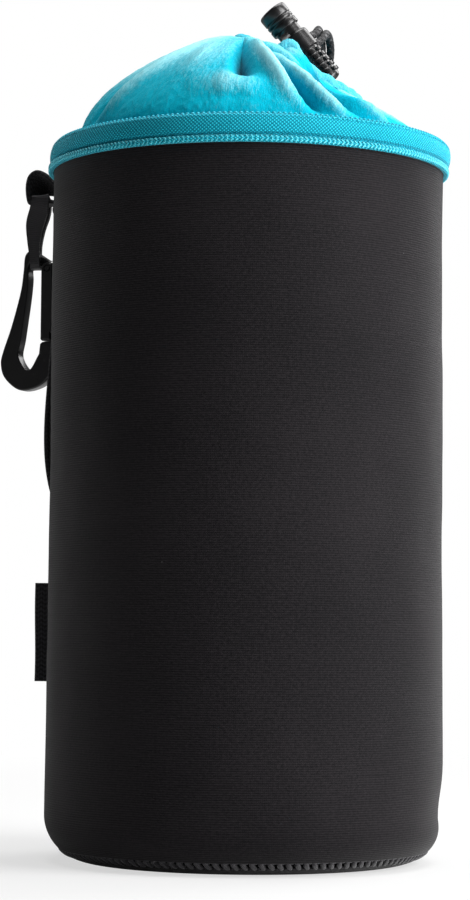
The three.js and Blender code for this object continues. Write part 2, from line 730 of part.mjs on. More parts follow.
const ribOuter = lockBarrelRadius;
const ribInner = lockBarrelRadius - lockGrooveDepth;
const ribHeight = lockRibPitch * 0.6;
const ribsStart = lockFloor;
const barrelProfile = [point2(0, 0), point2(ribInner - lockGrooveDepth, 0), point2(ribInner, lockGrooveDepth)];
for (let i = 0; i < lockRibCount - 1; i += 1) {
  const low = ribsStart + i * lockRibPitch;
  barrelProfile.push(point2(ribInner, low), point2(ribOuter, low));
  barrelProfile.push(point2(ribOuter, low + ribHeight), point2(ribInner, low + ribHeight));
}
const ribsEnd = ribsStart + (lockRibCount - 1) * lockRibPitch;
barrelProfile.push(
  point2(ribInner, ribsEnd),
  point2(ribOuter, ribsEnd + lockGrooveDepth),
  point2(ribOuter, lockBarrelLength - lockGrooveDepth),
  point2(ribInner, lockBarrelLength),
  point2(lockBoreRadius, lockBarrelLength),
  point2(lockBoreRadius, lockFloor),
  point2(0, lockFloor),
);

const barrelCuts = [];
const slotCut = new THREE.BoxGeometry(2 * (lockBarrelRadius + cutOverrun), lockSlotWidth, lockSlotLength);
slotCut.translate(0, 0, slotMiddle);
barrelCuts.push(slotCut);
for (let i = 0; i < lockFluteCount; i += 1) {
  const fluteDepth = lockGrooveDepth + cutOverrun;
  const flute = new THREE.BoxGeometry(fluteDepth, lockFluteWidth, ribsEnd - ribsStart);
  flute.translate(ribInner + fluteDepth / 2, 0, (ribsEnd + ribsStart) / 2);
  flute.rotateZ((i / lockFluteCount) * turn);
  barrelCuts.push(flute);
}
addPiece('lock_barrel', cut(revolve(barrelProfile, 2 * lockFluteCount), barrelCuts), 'plastic', lockGroup);

const plungerRadius = lockBoreRadius - plungerPlay;
const headLow = lockBarrelLength + lockNeckLength;
const plungerLow = slotMiddle - lockSlotLength / 2 - plungerFoot;
// Grip rings and domed end of the button: radius and height as shares of the head's own
const headOutlineShares = [
  [0.9, 0], [1, 0.05], [1, 0.26], [0.92, 0.29], [0.92, 0.34], [1, 0.37], [1, 0.46], [0.92, 0.49],
  [0.92, 0.53], [1, 0.56], [1, 0.84], [0.93, 0.94], [0.78, 0.98], [0.4, 1],
];
const plungerProfile = [point2(0, plungerLow), point2(plungerRadius, plungerLow), point2(plungerRadius, headLow)];
headOutlineShares.forEach(([radiusShare, heightShare]) => {
  plungerProfile.push(point2(lockHeadRadius * radiusShare, headLow + lockHeadLength * heightShare));
});
plungerProfile.push(point2(0, headLow + lockHeadLength));
const plungerSlotLength = lockSlotLength + plungerTravel + seatGap;
const plungerSlot = new THREE.BoxGeometry(2 * (lockHeadRadius + cutOverrun), lockSlotWidth, plungerSlotLength);
plungerSlot.translate(0, 0, slotMiddle - lockSlotLength / 2 + plungerSlotLength / 2);
addPiece('lock_plunger', cut(revolve(plungerProfile, 24), [plungerSlot]), 'plastic', lockGroup);

const lockSpringLength = plungerLow - lockFloor - 2 * seatGap;
const lockSpringRadius = lockBoreRadius - plungerPlay - lockSpringWire;
const lockSpring = coil(lockSpringWire, lockSpringRadius, lockSpringLength, lockSpringTurns);
lockSpring.translate(0, 0, lockFloor + seatGap);
addPiece('lock_spring', lockSpring, 'steel', lockGroup);

// Belt strap with a bar tack at each end

const strapHalfTurn = strapWidth / 2 / bodyRadius;
const strapColumns = 4;
const strapRows = 18;
const slackLow = strapBottom + strapTackHeight;
const slackHigh = strapTop - strapTackHeight;

// Slack of the strap off the wall, most of it low down
function strapLift(z) {
  const share = THREE.MathUtils.clamp((z - slackLow) / (slackHigh - slackLow), 0, 1);
  return strapBulge * Math.pow(Math.sin(Math.PI * Math.sqrt(share)), 2);
}

function curvedSection(radiusInside, radiusOutside, halfTurn, columns, z) {
  const ring = [];
  for (let j = 0; j <= columns; j += 1) {
    const a = degrees(strapAzimuth) - halfTurn + (2 * halfTurn * j) / columns;
    ring.push(new THREE.Vector3(radiusOutside * Math.cos(a), radiusOutside * Math.sin(a), z));
  }
  for (let j = columns; j >= 0; j -= 1) {
    const a = degrees(strapAzimuth) - halfTurn + (2 * halfTurn * j) / columns;
    ring.push(new THREE.Vector3(radiusInside * Math.cos(a), radiusInside * Math.sin(a), z));
  }
  return ring;
}

const strapHeights = [strapBottom];
for (let i = 0; i <= strapRows; i += 1) {
  strapHeights.push(THREE.MathUtils.lerp(slackLow, slackHigh, i / strapRows));
}
strapHeights.push(strapTop);
const strapSections = strapHeights.map((z) => {
  const inside = wallRadiusAt(z) + seatGap + strapLift(z);
  return curvedSection(inside, inside + strapThickness, strapHalfTurn, strapColumns, z);
});
addPiece('belt_strap', loft(strapSections), 'webbing');

// Rounded bar of thread across a strap
function bartack(radiusInside, halfTurn, middleTurn, z) {
  const sections = [];
  const columns = 6;
  for (let j = 0; j <= columns; j += 1) {
    const a = middleTurn - halfTurn + (2 * halfTurn * j) / columns;
    const taper = j === 0 || j === columns ? tackEndShare : 1;
    const out = new THREE.Vector3(Math.cos(a), Math.sin(a), 0);
    const ring = [[-1, 0], [1, 0], [0.7, 0.75], [0, 1], [-0.7, 0.75]].map(([across, liftShare]) => {
      const r = radiusInside + tackRise * liftShare * taper;
      return out.clone().multiplyScalar(r).setZ(z + (tackHeight / 2) * across * taper);
    });
    sections.push(ring);
  }
  return loft(sections);
}

const strapFace = seatGap + strapThickness + seatGap;
const tackHalfTurn = (strapWidth / 2 - tackMargin) / bodyRadius;
[
  ['strap_bartack_top', slackHigh + tackHeight / 2],
  ['strap_bartack_bottom', slackLow - tackHeight / 2],
].forEach(([name, z]) => {
  addPiece(name, bartack(wallRadiusAt(z) + strapFace, tackHalfTurn, degrees(strapAzimuth), z), 'blackThread');
});

// Hanger loop: a short webbing sewn to the strap, its loop standing out to the left
// Local frame: X is the distance from the pouch's axis, Y runs along the wall

const hangerGroup = new THREE.Group();
hangerGroup.rotation.z = degrees(hangerAzimuth);
pouch.add(hangerGroup);

// Flat outline of (distance from the axis, height) given thickness along Y
function plate(shape, thickness, bevel, bevelSteps = 1) {
  const geometry = new THREE.ExtrudeGeometry(shape, {
    depth: thickness - 2 * bevel,
    bevelEnabled: bevel > 0,
    bevelThickness: bevel,
    bevelSize: bevel,
    bevelOffset: -bevel,
    bevelSegments: bevelSteps,
    curveSegments: 6,
    steps: 1,
  });
  return geometry.translate(0, 0, -(thickness - 2 * bevel) / 2).rotateX(Math.PI / 2);
}

function pinAlongY(radius, length, x, z, sides = 16) {
  return new THREE.CylinderGeometry(radius, radius, length, sides).translate(x, 0, z);
}

const hangerSeat = wallRadiusAt(hangerTop) + strapFace;
const ribbonHighRadius = hangerSeat + ribbonHold;
// Outline of the loop, as shares of its reach and of its height under the top
const hangerOutlineShares = [
  [0, 0.58], [0.16, 0.34], [0.42, 0.1], [0.7, 0], [0.93, 0.16], [1, 0.5], [0.93, 0.92], [0.72, 0.96],
  [0.4, 0.93], [0.12, 0.96],
];
const hangerOutline = hangerOutlineShares.map(([reachShare, dropShare]) => (
  point2(hangerSeat + hangerReach * reachShare, hangerTop - hangerHeight * dropShare)
));
const hangerCurve = new THREE.SplineCurve([...hangerOutline, hangerOutline[0]]);
const hangerOuter = hangerCurve.getPoints(26).slice(0, -1);
const hangerMiddle = point2(hangerSeat + hangerReach / 2, hangerTop - hangerHeight / 2);
const hangerShape = new THREE.Shape(hangerOuter);
const hangerHole = hangerOuter.map((p, i) => {
  const before = hangerOuter[(i + hangerOuter.length - 1) % hangerOuter.length];
  const after = hangerOuter[(i + 1) % hangerOuter.length];
  const along = after.clone().sub(before).normalize();
  const inward = point2(along.y, -along.x);
  if (inward.dot(hangerMiddle.clone().sub(p)) < 0) {
    inward.negate();
  }
  return p.clone().addScaledVector(inward, hangerThickness);
});
hangerShape.holes.push(new THREE.Path(hangerHole.reverse()));
const hangerTabTop = hangerTop - hangerHeight * hangerOutlineShares[0][1];
const hangerTab = new THREE.BoxGeometry(2 * hangerThickness, hangerWidth, hangerTabLength);
hangerTab.translate(hangerSeat + hangerThickness, 0, hangerTabTop - hangerTabLength / 2);
addPiece('hanger_loop', combine(plate(hangerShape, hangerWidth, 0), [hangerTab], []), 'webbing', hangerGroup);

const hangerTack = new THREE.CylinderGeometry(tackRise, tackRise, hangerWidth - tackMargin, 6, 1);
hangerTack.scale(1, 1, tackHeight / (2 * tackRise));
hangerTack.translate(
  hangerSeat + 2 * hangerThickness + seatGap + tackRise, 0, hangerTabTop - hangerTabLength + tackHeight,
);
addPiece('hanger_bartack', hangerTack, 'blackThread', hangerGroup);

// Snap hook: a pear-shaped body whose spine thickens towards the belly, and a sprung gate
// Outlines as shares of the hook's width, out from its near side, and of its length, up from its bottom

const hookOuterShares = [
  [0.468, 1.0], [0.572, 0.952], [0.6, 0.84], [0.65, 0.695], [0.806, 0.46], [0.961, 0.277], [1, 0.188],
  [0.928, 0.093], [0.706, 0.012], [0.489, 0], [0.217, 0.041], [0.044, 0.132], [0, 0.239],
];
const hookInnerShares = [
  [0.294, 0.255], [0.483, 0.142], [0.672, 0.24], [0.628, 0.375], [0.54, 0.63], [0.505, 0.78],
  [0.512, 0.86], [0.455, 0.912], [0.36, 0.9],
];

const gatePivotShares = [0.161, 0.859];
const noseHeightShare = 0.34;
const hookEyeShares = [0.455, 0.912];  // top of the opening that the ribbon hangs in
const hangerLegShare = 0.95;           // how far down the hanger's lower leg lies

const hookInner = Math.max(bodyRadius, rimRadius) + strapFace + hookStandoff;
const ribbonLowRadius = hookInner + ribbonReach;

function hookPoint([widthShare, lengthShare]) {
  return point2(hookInner + hookWidth * widthShare, hookBottom + hookLength * lengthShare);
}

// The body ends in a tongue round the gate's pin; the gate's two cheeks straddle it
const pivot = hookPoint(gatePivotShares);
const gateOutside = pivot.x - gateWidth / 2;
const gateInside = pivot.x + gateWidth / 2;
const noseTop = hookBottom + hookLength * noseHeightShare;
const hookOuterCurve = new THREE.SplineCurve(hookOuterShares.map(hookPoint)).getPoints(hookOuterSteps);
const hookInnerCurve = new THREE.SplineCurve(hookInnerShares.map(hookPoint)).getPoints(hookInnerSteps);
const hookShape = new THREE.Shape([
  ...hookOuterCurve,
  point2(hookInner, noseTop),
  point2(gateInside - hookBevel, noseTop),
  ...hookInnerCurve,
  ...arc(pivot.x, pivot.y, gateWidth / 2, 20, -235, 8),
]);
const lip = new THREE.BoxGeometry(noseLipWidth, hookDepth - 2 * hookBevel, 2 * noseLip);
lip.translate(hookInner + noseLipWidth / 2, 0, noseTop);
const cheekDepth = (hookDepth - gateTongue) / 2 + cutOverrun;
const cheekCuts = [-1, 1].map((side) => (
  pinAlongY(gateWidth / 2 + seatGap, cheekDepth, pivot.x, pivot.y, 24)
    .translate(0, side * (gateTongue / 2 + cheekDepth / 2), 0)
));
const pinHole = pinAlongY(gatePinRadius + gatePinPlay, hookDepth + 2 * cutOverrun, pivot.x, pivot.y);
addPiece(
  'hook_body', combine(plate(hookShape, hookDepth, hookBevel), [lip], [...cheekCuts, pinHole]),
  'hookMetal', hangerGroup,
);

const gateLow = noseTop + seatGap;
const gateNotch = hookInner + noseLipWidth + seatGap;
const gateShape = new THREE.Shape([
  ...arc(pivot.x, pivot.y, gateWidth / 2, 0, 180, 8),
  point2(gateOutside, gateLow + noseLip),
  point2(gateNotch, gateLow + noseLip),
  point2(gateNotch, gateLow),
  point2(gateInside - hookBevel, gateLow),
  point2(gateInside, gateLow + hookBevel),
]);
const slotFloor = pivot.y - gateWidth / 2 - seatGap;
const gateSlot = new THREE.BoxGeometry(gateWidth + 2 * cutOverrun, gateTongue + 2 * seatGap, 2 * gateWidth);
gateSlot.translate(pivot.x, 0, slotFloor + gateWidth);
const gateBore = new THREE.CylinderGeometry(
  gateSpringRadius + gateSpringWire, gateSpringRadius + gateSpringWire, gateBoreDepth + cutOverrun, 12,
);
gateBore.rotateX(Math.PI / 2).translate(pivot.x, 0, slotFloor + (cutOverrun - gateBoreDepth) / 2);
addPiece(
  'hook_gate', cut(plate(gateShape, hookDepth, hookBevel), [gateSlot, gateBore, pinHole]), 'hookMetal',
  hangerGroup,
);
addPiece('gate_pin', pinAlongY(gatePinRadius, hookDepth, pivot.x, pivot.y), 'steel', hangerGroup);
const gateSpring = coil(gateSpringWire, gateSpringRadius, gateBoreDepth - seatGap, gateSpringTurns);
gateSpring.translate(pivot.x, 0, slotFloor - gateBoreDepth + seatGap);
addPiece('gate_spring', gateSpring, 'steel', hangerGroup);

// Ribbon: a closed loop of tape over the hanger's lower leg and under the hook's top bar

const hangerLeg = hangerTop - hangerHeight * hangerLegShare;
const ribbonHigh = hangerLeg + hangerThickness + seatGap + ribbonThickness / 2;
const ribbonLow = hookPoint(hookEyeShares).y - ribbonDrop - ribbonThickness / 2;
const ribbonHighHalf = hangerWidth / 2 + seatGap + ribbonThickness / 2;
const ribbonLowHalf = hookDepth / 2 + seatGap + ribbonThickness / 2;
// Half of the loop from the middle of its low run to the middle of its high run, as shares:
// height, half width where 1 is the low one and 2 the high one, place between the two radii, tape width
const ribbonHalfShares = [
  [0, 0, 0.9, 0.7], [0, 0.6, 0.9, 0.7], [0.04, 1, 0.9, 0.72], [0.16, 1.1, 0.95, 0.8], [0.36, 1.25, 1, 0.94],
  [0.6, 1.45, 0.8, 1], [0.78, 1.76, 0.35, 1], [0.88, 1.98, 0.1, 1], [0.97, 2, 0, 1], [1, 1.76, 0, 1],
  [1, 0.8, 0, 1], [1, 0, 0, 1],
];

function ribbonPlace([heightShare, spreadShare, driftShare, widthShare], side) {
  const spread = spreadShare <= 1
    ? ribbonLowHalf * spreadShare
    : THREE.MathUtils.lerp(ribbonLowHalf, ribbonHighHalf, spreadShare - 1);
  return {
    x: THREE.MathUtils.lerp(ribbonHighRadius, ribbonLowRadius, driftShare),
    y: side * spread,
    z: THREE.MathUtils.lerp(ribbonLow, ribbonHigh, heightShare),
    width: ribbonWidth * widthShare,
  };
}

const ribbonPlaces = [
  ...ribbonHalfShares.map((row) => ribbonPlace(row, 1)),
  ...ribbonHalfShares.slice(1, -1).reverse().map((row) => ribbonPlace(row, -1)),
];
const ribbonSections = ribbonPlaces.map((place, i) => {
  const before = ribbonPlaces[(i + ribbonPlaces.length - 1) % ribbonPlaces.length];
  const after = ribbonPlaces[(i + 1) % ribbonPlaces.length];
  const along = point2(after.y - before.y, after.z - before.z).normalize();
  return [[-1, -1], [1, -1], [1, 1], [-1, 1]].map(([across, out]) => new THREE.Vector3(
    place.x + (across * place.width) / 2,
    place.y + (out * along.y * ribbonThickness) / 2,
    place.z - (out * along.x * ribbonThickness) / 2,
  ));
});
addPiece('hook_ribbon', loft(ribbonSections, true), 'ribbon', hangerGroup);

// Side tag: a folded tape sewn into a slot in the wall

const tagGroup = new THREE.Group();
tagGroup.rotation.z = degrees(tagAzimuth);
pouch.add(tagGroup);
const tagWall = wallRadiusAt(tagMiddle);
const tagShape = new THREE.Shape([
  point2(tagWall - tagRoot, tagTop - tagHeight),
  ...arc(tagWall + tagReach - tagCorner, tagTop - tagHeight + tagCorner, tagCorner, -90, 0, 3),
  ...arc(tagWall + tagReach - tagCorner, tagTop - tagCorner, tagCorner, 0, 90, 3),
  point2(tagWall - tagRoot, tagTop),
]);
addPiece('side_tag', plate(tagShape, tagThickness, 0), 'webbing', tagGroup);

export default pouch;
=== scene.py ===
import math

import bmesh
import bpy
import numpy as np
from mathutils import Matrix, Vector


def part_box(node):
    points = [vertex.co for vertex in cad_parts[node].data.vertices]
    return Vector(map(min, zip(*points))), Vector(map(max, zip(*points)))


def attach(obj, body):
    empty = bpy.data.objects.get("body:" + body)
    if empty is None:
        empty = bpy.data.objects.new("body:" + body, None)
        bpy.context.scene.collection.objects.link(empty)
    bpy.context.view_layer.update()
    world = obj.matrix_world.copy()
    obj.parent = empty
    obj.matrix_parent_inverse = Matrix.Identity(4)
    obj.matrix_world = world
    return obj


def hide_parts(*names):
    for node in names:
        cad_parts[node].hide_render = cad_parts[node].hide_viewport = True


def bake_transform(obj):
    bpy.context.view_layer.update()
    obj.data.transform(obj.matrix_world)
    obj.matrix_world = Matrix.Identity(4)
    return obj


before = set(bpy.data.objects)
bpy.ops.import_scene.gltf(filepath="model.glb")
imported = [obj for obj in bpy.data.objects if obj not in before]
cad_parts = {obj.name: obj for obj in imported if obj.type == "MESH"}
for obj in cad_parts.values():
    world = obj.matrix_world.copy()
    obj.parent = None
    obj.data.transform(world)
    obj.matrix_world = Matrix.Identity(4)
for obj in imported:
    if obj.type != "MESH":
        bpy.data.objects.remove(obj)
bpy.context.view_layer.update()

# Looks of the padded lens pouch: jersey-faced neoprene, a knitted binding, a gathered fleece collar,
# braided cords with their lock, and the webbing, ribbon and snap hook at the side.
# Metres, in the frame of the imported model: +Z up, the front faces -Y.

MM = 0.001
TURN = 2 * math.pi


# Camera at the photograph's view

CAMERA_PLACE = (-3.17 * MM, -745 * MM, 65 * MM)
CAMERA_PITCH = math.radians(3.75)
CAMERA_ROLL = math.radians(0.47)
CAMERA_LENS = 106.8

camera = bpy.data.objects.new("camera", bpy.data.cameras.new("camera"))
bpy.context.scene.collection.objects.link(camera)
camera.data.lens = CAMERA_LENS
camera.data.sensor_width = 36
camera.data.clip_start = 0.01
camera.data.clip_end = 50
camera.matrix_world = (
    Matrix.Translation(CAMERA_PLACE)
    @ Matrix.Rotation(math.pi / 2 + CAMERA_PITCH, 4, "X")
    @ Matrix.Rotation(CAMERA_ROLL, 4, "Z")
)
bpy.context.scene.camera = camera
bpy.context.scene.view_settings.view_transform = "Standard"


# Shader maths

class Wire:
    """A node's output. Its operators add Math nodes, so a pattern is written as a sum."""

    def __init__(self, finish, socket):
        self.finish = finish
        self.socket = socket

    def maths(self, operation, *values):
        return self.finish.node("ShaderNodeMath", {"operation": operation}, dict(enumerate(values)))

    def __add__(self, other):
        return self.maths("ADD", self, other)

    def __sub__(self, other):
        return self.maths("SUBTRACT", self, other)

    def __mul__(self, other):
        return self.maths("MULTIPLY", self, other)

    def __truediv__(self, other):
        return self.maths("DIVIDE", self, other)

    def __rsub__(self, other):
        return self.maths("SUBTRACT", other, self)

    __radd__ = __add__
    __rmul__ = __mul__

    def power(self, exponent):
        return self.maths("POWER", self, exponent)

    def ripple(self):
        """A wave from 0 to 1 that repeats with each whole number."""
        return self.maths("SINE", self * TURN) * 0.5 + 0.5

    def between(self, low, high):
        """0 below low, 1 above high, and a smooth step between them."""
        settings = {"interpolation_type": "SMOOTHSTEP"}
        sockets = {"Value": self, "From Min": low, "From Max": high}
        return self.finish.node("ShaderNodeMapRange", settings, sockets)


class Finish:
    """The nodes of a material under construction, ended by shade(), or those of a world."""

    def __init__(self, name, owner=None):
        self.owner = owner or bpy.data.materials.new(name)
        self.owner.use_nodes = True
        self.tree = self.owner.node_tree
        self.tree.nodes.clear()

    def node(self, kind, settings=None, sockets=None, output=0):
        """A node of any kind: its settings first, then values or links for its sockets."""
        made = self.tree.nodes.new(kind)
        for key, value in (settings or {}).items():
            if key == "stops":
                self.set_stops(made.color_ramp.elements, value)
            else:
                setattr(made, key, value)
        for key, value in (sockets or {}).items():
            if isinstance(value, Wire):
                self.tree.links.new(value.socket, made.inputs[key])
            else:
                made.inputs[key].default_value = value
        return Wire(self, made.outputs[output]) if made.outputs else None

    @staticmethod
    def set_stops(elements, stops):
        while len(elements) < len(stops):
            elements.new(0.5)
        for element, (place, colour) in zip(elements, stops):
            element.position = place
            element.color = colour

    def surface_place(self):
        """Distance along and across the surface, in metres, from the piece's own UV map."""
        spot = self.node("ShaderNodeTexCoord", output="UV")
        return [self.node("ShaderNodeSeparateXYZ", sockets={0: spot}, output=k) for k in (0, 1)]

    def at(self, x, y, z=0.0):
        return self.node("ShaderNodeCombineXYZ", sockets={0: x, 1: y, 2: z})

    def solid_place(self):
        return self.node("ShaderNodeTexCoord", output="Object")

    def noise(self, place, scale, detail=2.0, roughness=0.5):
        sockets = {"Vector": place, "Scale": scale, "Detail": detail, "Roughness": roughness}
        return self.node("ShaderNodeTexNoise", sockets=sockets)

    def specks(self, place, scale, size):
        """Small round spots, one to a cell, 1 inside them and 0 outside."""
        cell = self.node("ShaderNodeTexVoronoi", sockets={"Vector": place, "Scale": scale})
        return 1 - cell.between(size * 0.6, size)

    def mix(self, factor, low, high):
        settings = {"data_type": "RGBA"}
        return self.node("ShaderNodeMix", settings, {0: factor, 6: low, 7: high}, output=2)

    def shade(self, colour, roughness, height=None, relief=0.0, **fixed):
        """The Principled shader: colour, roughness, a bump of the given relief in metres, fixed sockets."""
        sockets = {"Base Color": colour, "Roughness": roughness}
        sockets.update({key.replace("_", " "): value for key, value in fixed.items()})
        if height is not None:
            bump = {"Height": height, "Distance": relief, "Strength": 1.0}
            sockets["Normal"] = self.node("ShaderNodeBump", sockets=bump)
        shader = self.node("ShaderNodeBsdfPrincipled", sockets=sockets)
        self.node("ShaderNodeOutputMaterial", sockets={"Surface": shader})
        return self.owner


def rgb(red, green, blue):
    """A colour given in linear light."""
    return (red, green, blue, 1.0)


# Pitches of the weaves and knits that the finishes and the shapes share

JERSEY_ROW = 0.62 * MM
JERSEY_WALE = 0.5 * MM
BINDING_PITCH = 1.05 * MM
BINDING_ROW = 1.0 * MM
THREAD_PLY = 0.45 * MM
THREAD_SLANT = 0.9 * MM
WEBBING_RIB = 1.25 * MM
WEBBING_PAIR = 2.1 * MM
WEBBING_WARP = 0.7 * MM
RIBBON_RIB = 0.55 * MM
CORD_DIAMETER = 2.4 * MM
BRAID_PITCH = 2.2 * MM
BRAID_STRAND = math.pi * CORD_DIAMETER / 4


# Finishes

def jersey_finish():
    """Black polyester jersey: fine knitted rows round the pouch, fainter wales, and stray lint."""
    f = Finish("neoprene_jersey")
    along, up = f.surface_place()
    drift = f.noise(f.at(along, up), 60.0) * 0.5
    rows = (up / JERSEY_ROW + drift).ripple()
    wales = (along / JERSEY_WALE).ripple()
    grain = f.noise(f.at(along, up), 1150.0, 3.0, 0.7)
    cloud = f.noise(f.at(along, up), 25.0, 3.0)
    knit = rows * 0.5 + wales * rows * 0.2 + grain * 0.8
    lint = f.specks(f.at(along, up), 90.0, 0.022) * f.noise(f.at(along, up), 130.0).between(0.52, 0.6)
    tone = grain * 0.75 + rows * 0.2 + cloud * 0.3
    dark = f.mix(tone.between(0.38, 0.92), rgb(0.0036, 0.0033, 0.0041), rgb(0.0165, 0.0143, 0.0160))
    colour = f.mix(lint * 0.5, dark, rgb(0.12, 0.115, 0.12))
    return f.shade(
        colour, 0.6 + grain * 0.2, knit + lint * 0.5, 0.08 * MM,
        Sheen_Weight=0.12, Sheen_Roughness=0.47, Specular_IOR_Level=0.04,
    )


def fleece_finish(name, deep, mid, pale):
    """Brushed fleece: short pile in fine upright streaks with paler tips. A fold attribute of the piece adds
    painted light: a painted highlight, paler, over outward folds, higher up the collar and on the hem, and
    painted shade, a deeper colour, in the fold valleys."""
    f = Finish(name)
    along, up = f.surface_place()
    # Painted light from the collar's fold attribute: above 0 over outward folds and higher up, below 0 in the
    # valleys
    crest = f.node("ShaderNodeAttribute", {"attribute_name": "crest"}, output="Fac")
    streaks = f.noise(f.at(along / 0.4, up / 1.7), 1000.0, 3.0, 0.7)
    tufts = f.noise(f.solid_place(), 2200.0, 3.0, 0.7)
    drift = f.noise(f.at(along, up / 2.0), 55.0, 1.0)
    nap = streaks * 0.6 + tufts * 0.4
    # Painted shade: the deep colour fills the fold valleys
    painted_valley_shade = (crest * -1.0 + (nap - 0.5) * 0.6).between(0.12, 1.2)
    body = f.mix(painted_valley_shade, mid, deep)
    # Pale mix: the pile's streaks, random drift, and the painted highlight over folds and up the collar
    lit = (nap - 0.5) * 0.6 + 0.5 + crest * 0.42 + (drift - 0.5) * 0.10
    colour = f.mix(lit.between(0.52, 0.95) * 0.95, body, pale)
    return f.shade(
        colour, 0.95, nap, 0.26 * MM,
        Sheen_Weight=0.14, Sheen_Roughness=0.30, Sheen_Tint=rgb(0.55, 0.95, 1.0),
        Specular_IOR_Level=0.05,
    )


def binding_finish():
    """Knitted binding tape: a lattice of bright loops with deeper colour between them."""
    f = Finish("binding_knit")
    along, up = f.surface_place()
    forward = (along / BINDING_PITCH + up / BINDING_ROW).ripple()
    back = (along / BINDING_PITCH - up / BINDING_ROW).ripple()
    loops = forward * back
    fibre = f.noise(f.at(along, up), 1600.0, 3.0, 0.7)
    deep = f.mix(fibre, rgb(0.0, 0.15, 0.22), rgb(0.0, 0.26, 0.36))
    colour = f.mix((loops + fibre * 0.3).between(0.2, 0.75), deep, rgb(0.02, 0.50, 0.64))
    return f.shade(
        colour, 0.75, loops + fibre * 0.4, 0.12 * MM,
        Sheen_Weight=0.25, Sheen_Roughness=0.35, Sheen_Tint=rgb(0.6, 0.95, 1.0),
        Specular_IOR_Level=0.1,
    )


def thread_finish(name, dark, light):
    """Twisted sewing thread: fine slanting plies along each stitch."""
    f = Finish(name)
    along, across = f.surface_place()
    plies = (along / THREAD_PLY + across / THREAD_SLANT).ripple()
    colour = f.mix(plies, dark, light)
    return f.shade(colour, 0.55, plies, 0.05 * MM, Sheen_Weight=0.2, Specular_IOR_Level=0.35)


def webbing_finish():
    """Black woven webbing: ribs across the tape made of paired, slanting weft threads."""
    f = Finish("woven_webbing")
    along, across = f.surface_place()
    ribs = (along / WEBBING_RIB + (across / WEBBING_PAIR).ripple() * 0.5).ripple()
    warp = (across / WEBBING_WARP).ripple()
    fibre = f.noise(f.at(along, across), 1400.0, 3.0, 0.7)
    weave = ribs * 0.6 + warp * 0.4
    tone = weave * 0.7 + fibre * 0.4
    colour = f.mix(tone.between(0.2, 0.95), rgb(0.0025, 0.0024, 0.0028), rgb(0.020, 0.0195, 0.022))
    return f.shade(colour, 0.68, weave + fibre * 0.4, 0.16 * MM, Sheen_Weight=0.08, Specular_IOR_Level=0.15)


def ribbon_finish():
    """Thin grosgrain tape: fine ribs straight across it."""
    f = Finish("hook_tape")
    along, across = f.surface_place()
    ribs = (along / RIBBON_RIB).ripple()
    fibre = f.noise(f.at(along, across), 1200.0, 3.0, 0.7)
    tone = ribs * 0.5 + fibre * 0.5
    colour = f.mix(tone, rgb(0.010, 0.0095, 0.0105), rgb(0.034, 0.0325, 0.036))
    return f.shade(colour, 0.55, ribs + fibre * 0.3, 0.04 * MM, Sheen_Weight=0.08, Specular_IOR_Level=0.2)


def cord_finish():
    """Braided cord: strands that cross in a lattice, a few of them grey."""
    f = Finish("braided_cord")
    along, across = f.surface_place()
    forward = (along / BRAID_PITCH + across / BRAID_STRAND).ripple()
    back = (along / BRAID_PITCH - across / BRAID_STRAND).ripple()
    braid = forward.power(2.0) + back.power(2.0)
    fibre = f.noise(f.at(along, across), 1500.0, 3.0, 0.7)
    flecks = f.noise(f.at(along / 1.4, across), 800.0, 1.0).between(0.58, 0.68)
    black = f.mix(fibre, rgb(0.003, 0.003, 0.0035), rgb(0.018, 0.018, 0.020))
    colour = f.mix(flecks * 0.6, black, rgb(0.09, 0.09, 0.093))
    return f.shade(colour, 0.6, braid + fibre * 0.5, 0.12 * MM, Sheen_Weight=0.06, Specular_IOR_Level=0.14)


def plastic_finish():
    """Moulded black plastic with a fine spark-eroded grain and paler rubbed patches."""
    f = Finish("moulded_plastic")
    grain = f.noise(f.solid_place(), 2600.0, 3.0, 0.6)
    rubbed = f.noise(f.solid_place(), 260.0, 2.0)
    colour = f.mix(rubbed.between(0.4, 0.75), rgb(0.003, 0.0028, 0.003), rgb(0.013, 0.012, 0.0125))
    return f.shade(colour, 0.24 + grain * 0.12, grain, 0.02 * MM, Specular_IOR_Level=0.5)


def hook_finish():
    """Die-cast hook under black satin paint, rubbed thin in small patches."""
    f = Finish("black_hook")
    grain = f.noise(f.solid_place(), 1100.0, 3.0, 0.6)
    rubbed = f.noise(f.solid_place(), 330.0, 4.0, 0.6).between(0.62, 0.74)
    colour = f.mix(rubbed * 0.5, rgb(0.010, 0.0098, 0.0102), rgb(0.045, 0.043, 0.043))
    return f.shade(colour, 0.24 + grain * 0.12, grain, 0.015 * MM, Specular_IOR_Level=0.45)


def steel_finish():
    """Drawn spring steel with fine lines round it."""
    f = Finish("spring_steel")
    grain = f.noise(f.solid_place(), 1800.0, 3.0, 0.6)
    colour = f.mix(grain, rgb(0.36, 0.37, 0.39), rgb(0.62, 0.63, 0.66))
    return f.shade(colour, 0.25 + grain * 0.15, grain, 0.01 * MM, Metallic=1.0)


FINISHES = {
    "neoprene": jersey_finish(),
    # The collar fleece's deep colour is the painted shade of its fold valleys; its pale one is also the
    # painted highlight over its folds
    "fleece": fleece_finish(
        "collar_fleece", rgb(0.0, 0.12, 0.19), rgb(0.0, 0.355, 0.48), rgb(0.34, 0.73, 0.79),
    ),
    "binding": binding_finish(),
    "bright_thread": thread_finish("turquoise_thread", rgb(0.0, 0.34, 0.46), rgb(0.12, 0.70, 0.80)),
    "dark_thread": thread_finish("black_thread", rgb(0.008, 0.0075, 0.009), rgb(0.04, 0.037, 0.043)),
    "webbing": webbing_finish(),
    "ribbon": ribbon_finish(),
    "cord": cord_finish(),
    "lock_plastic": plastic_finish(),
    "hook_metal": hook_finish(),
    "steel": steel_finish(),
}


# Making meshes from grids of points

def lengths_along(points, axis, closed):
    """Running distance along one direction of a grid, averaged over the other."""
    ahead = np.roll(points, -1, axis=axis)
    steps = np.linalg.norm(ahead - points, axis=-1).mean(axis=1 - axis)
    total = np.concatenate([[0.0], np.cumsum(steps)])
    return total if closed else total[:-1]


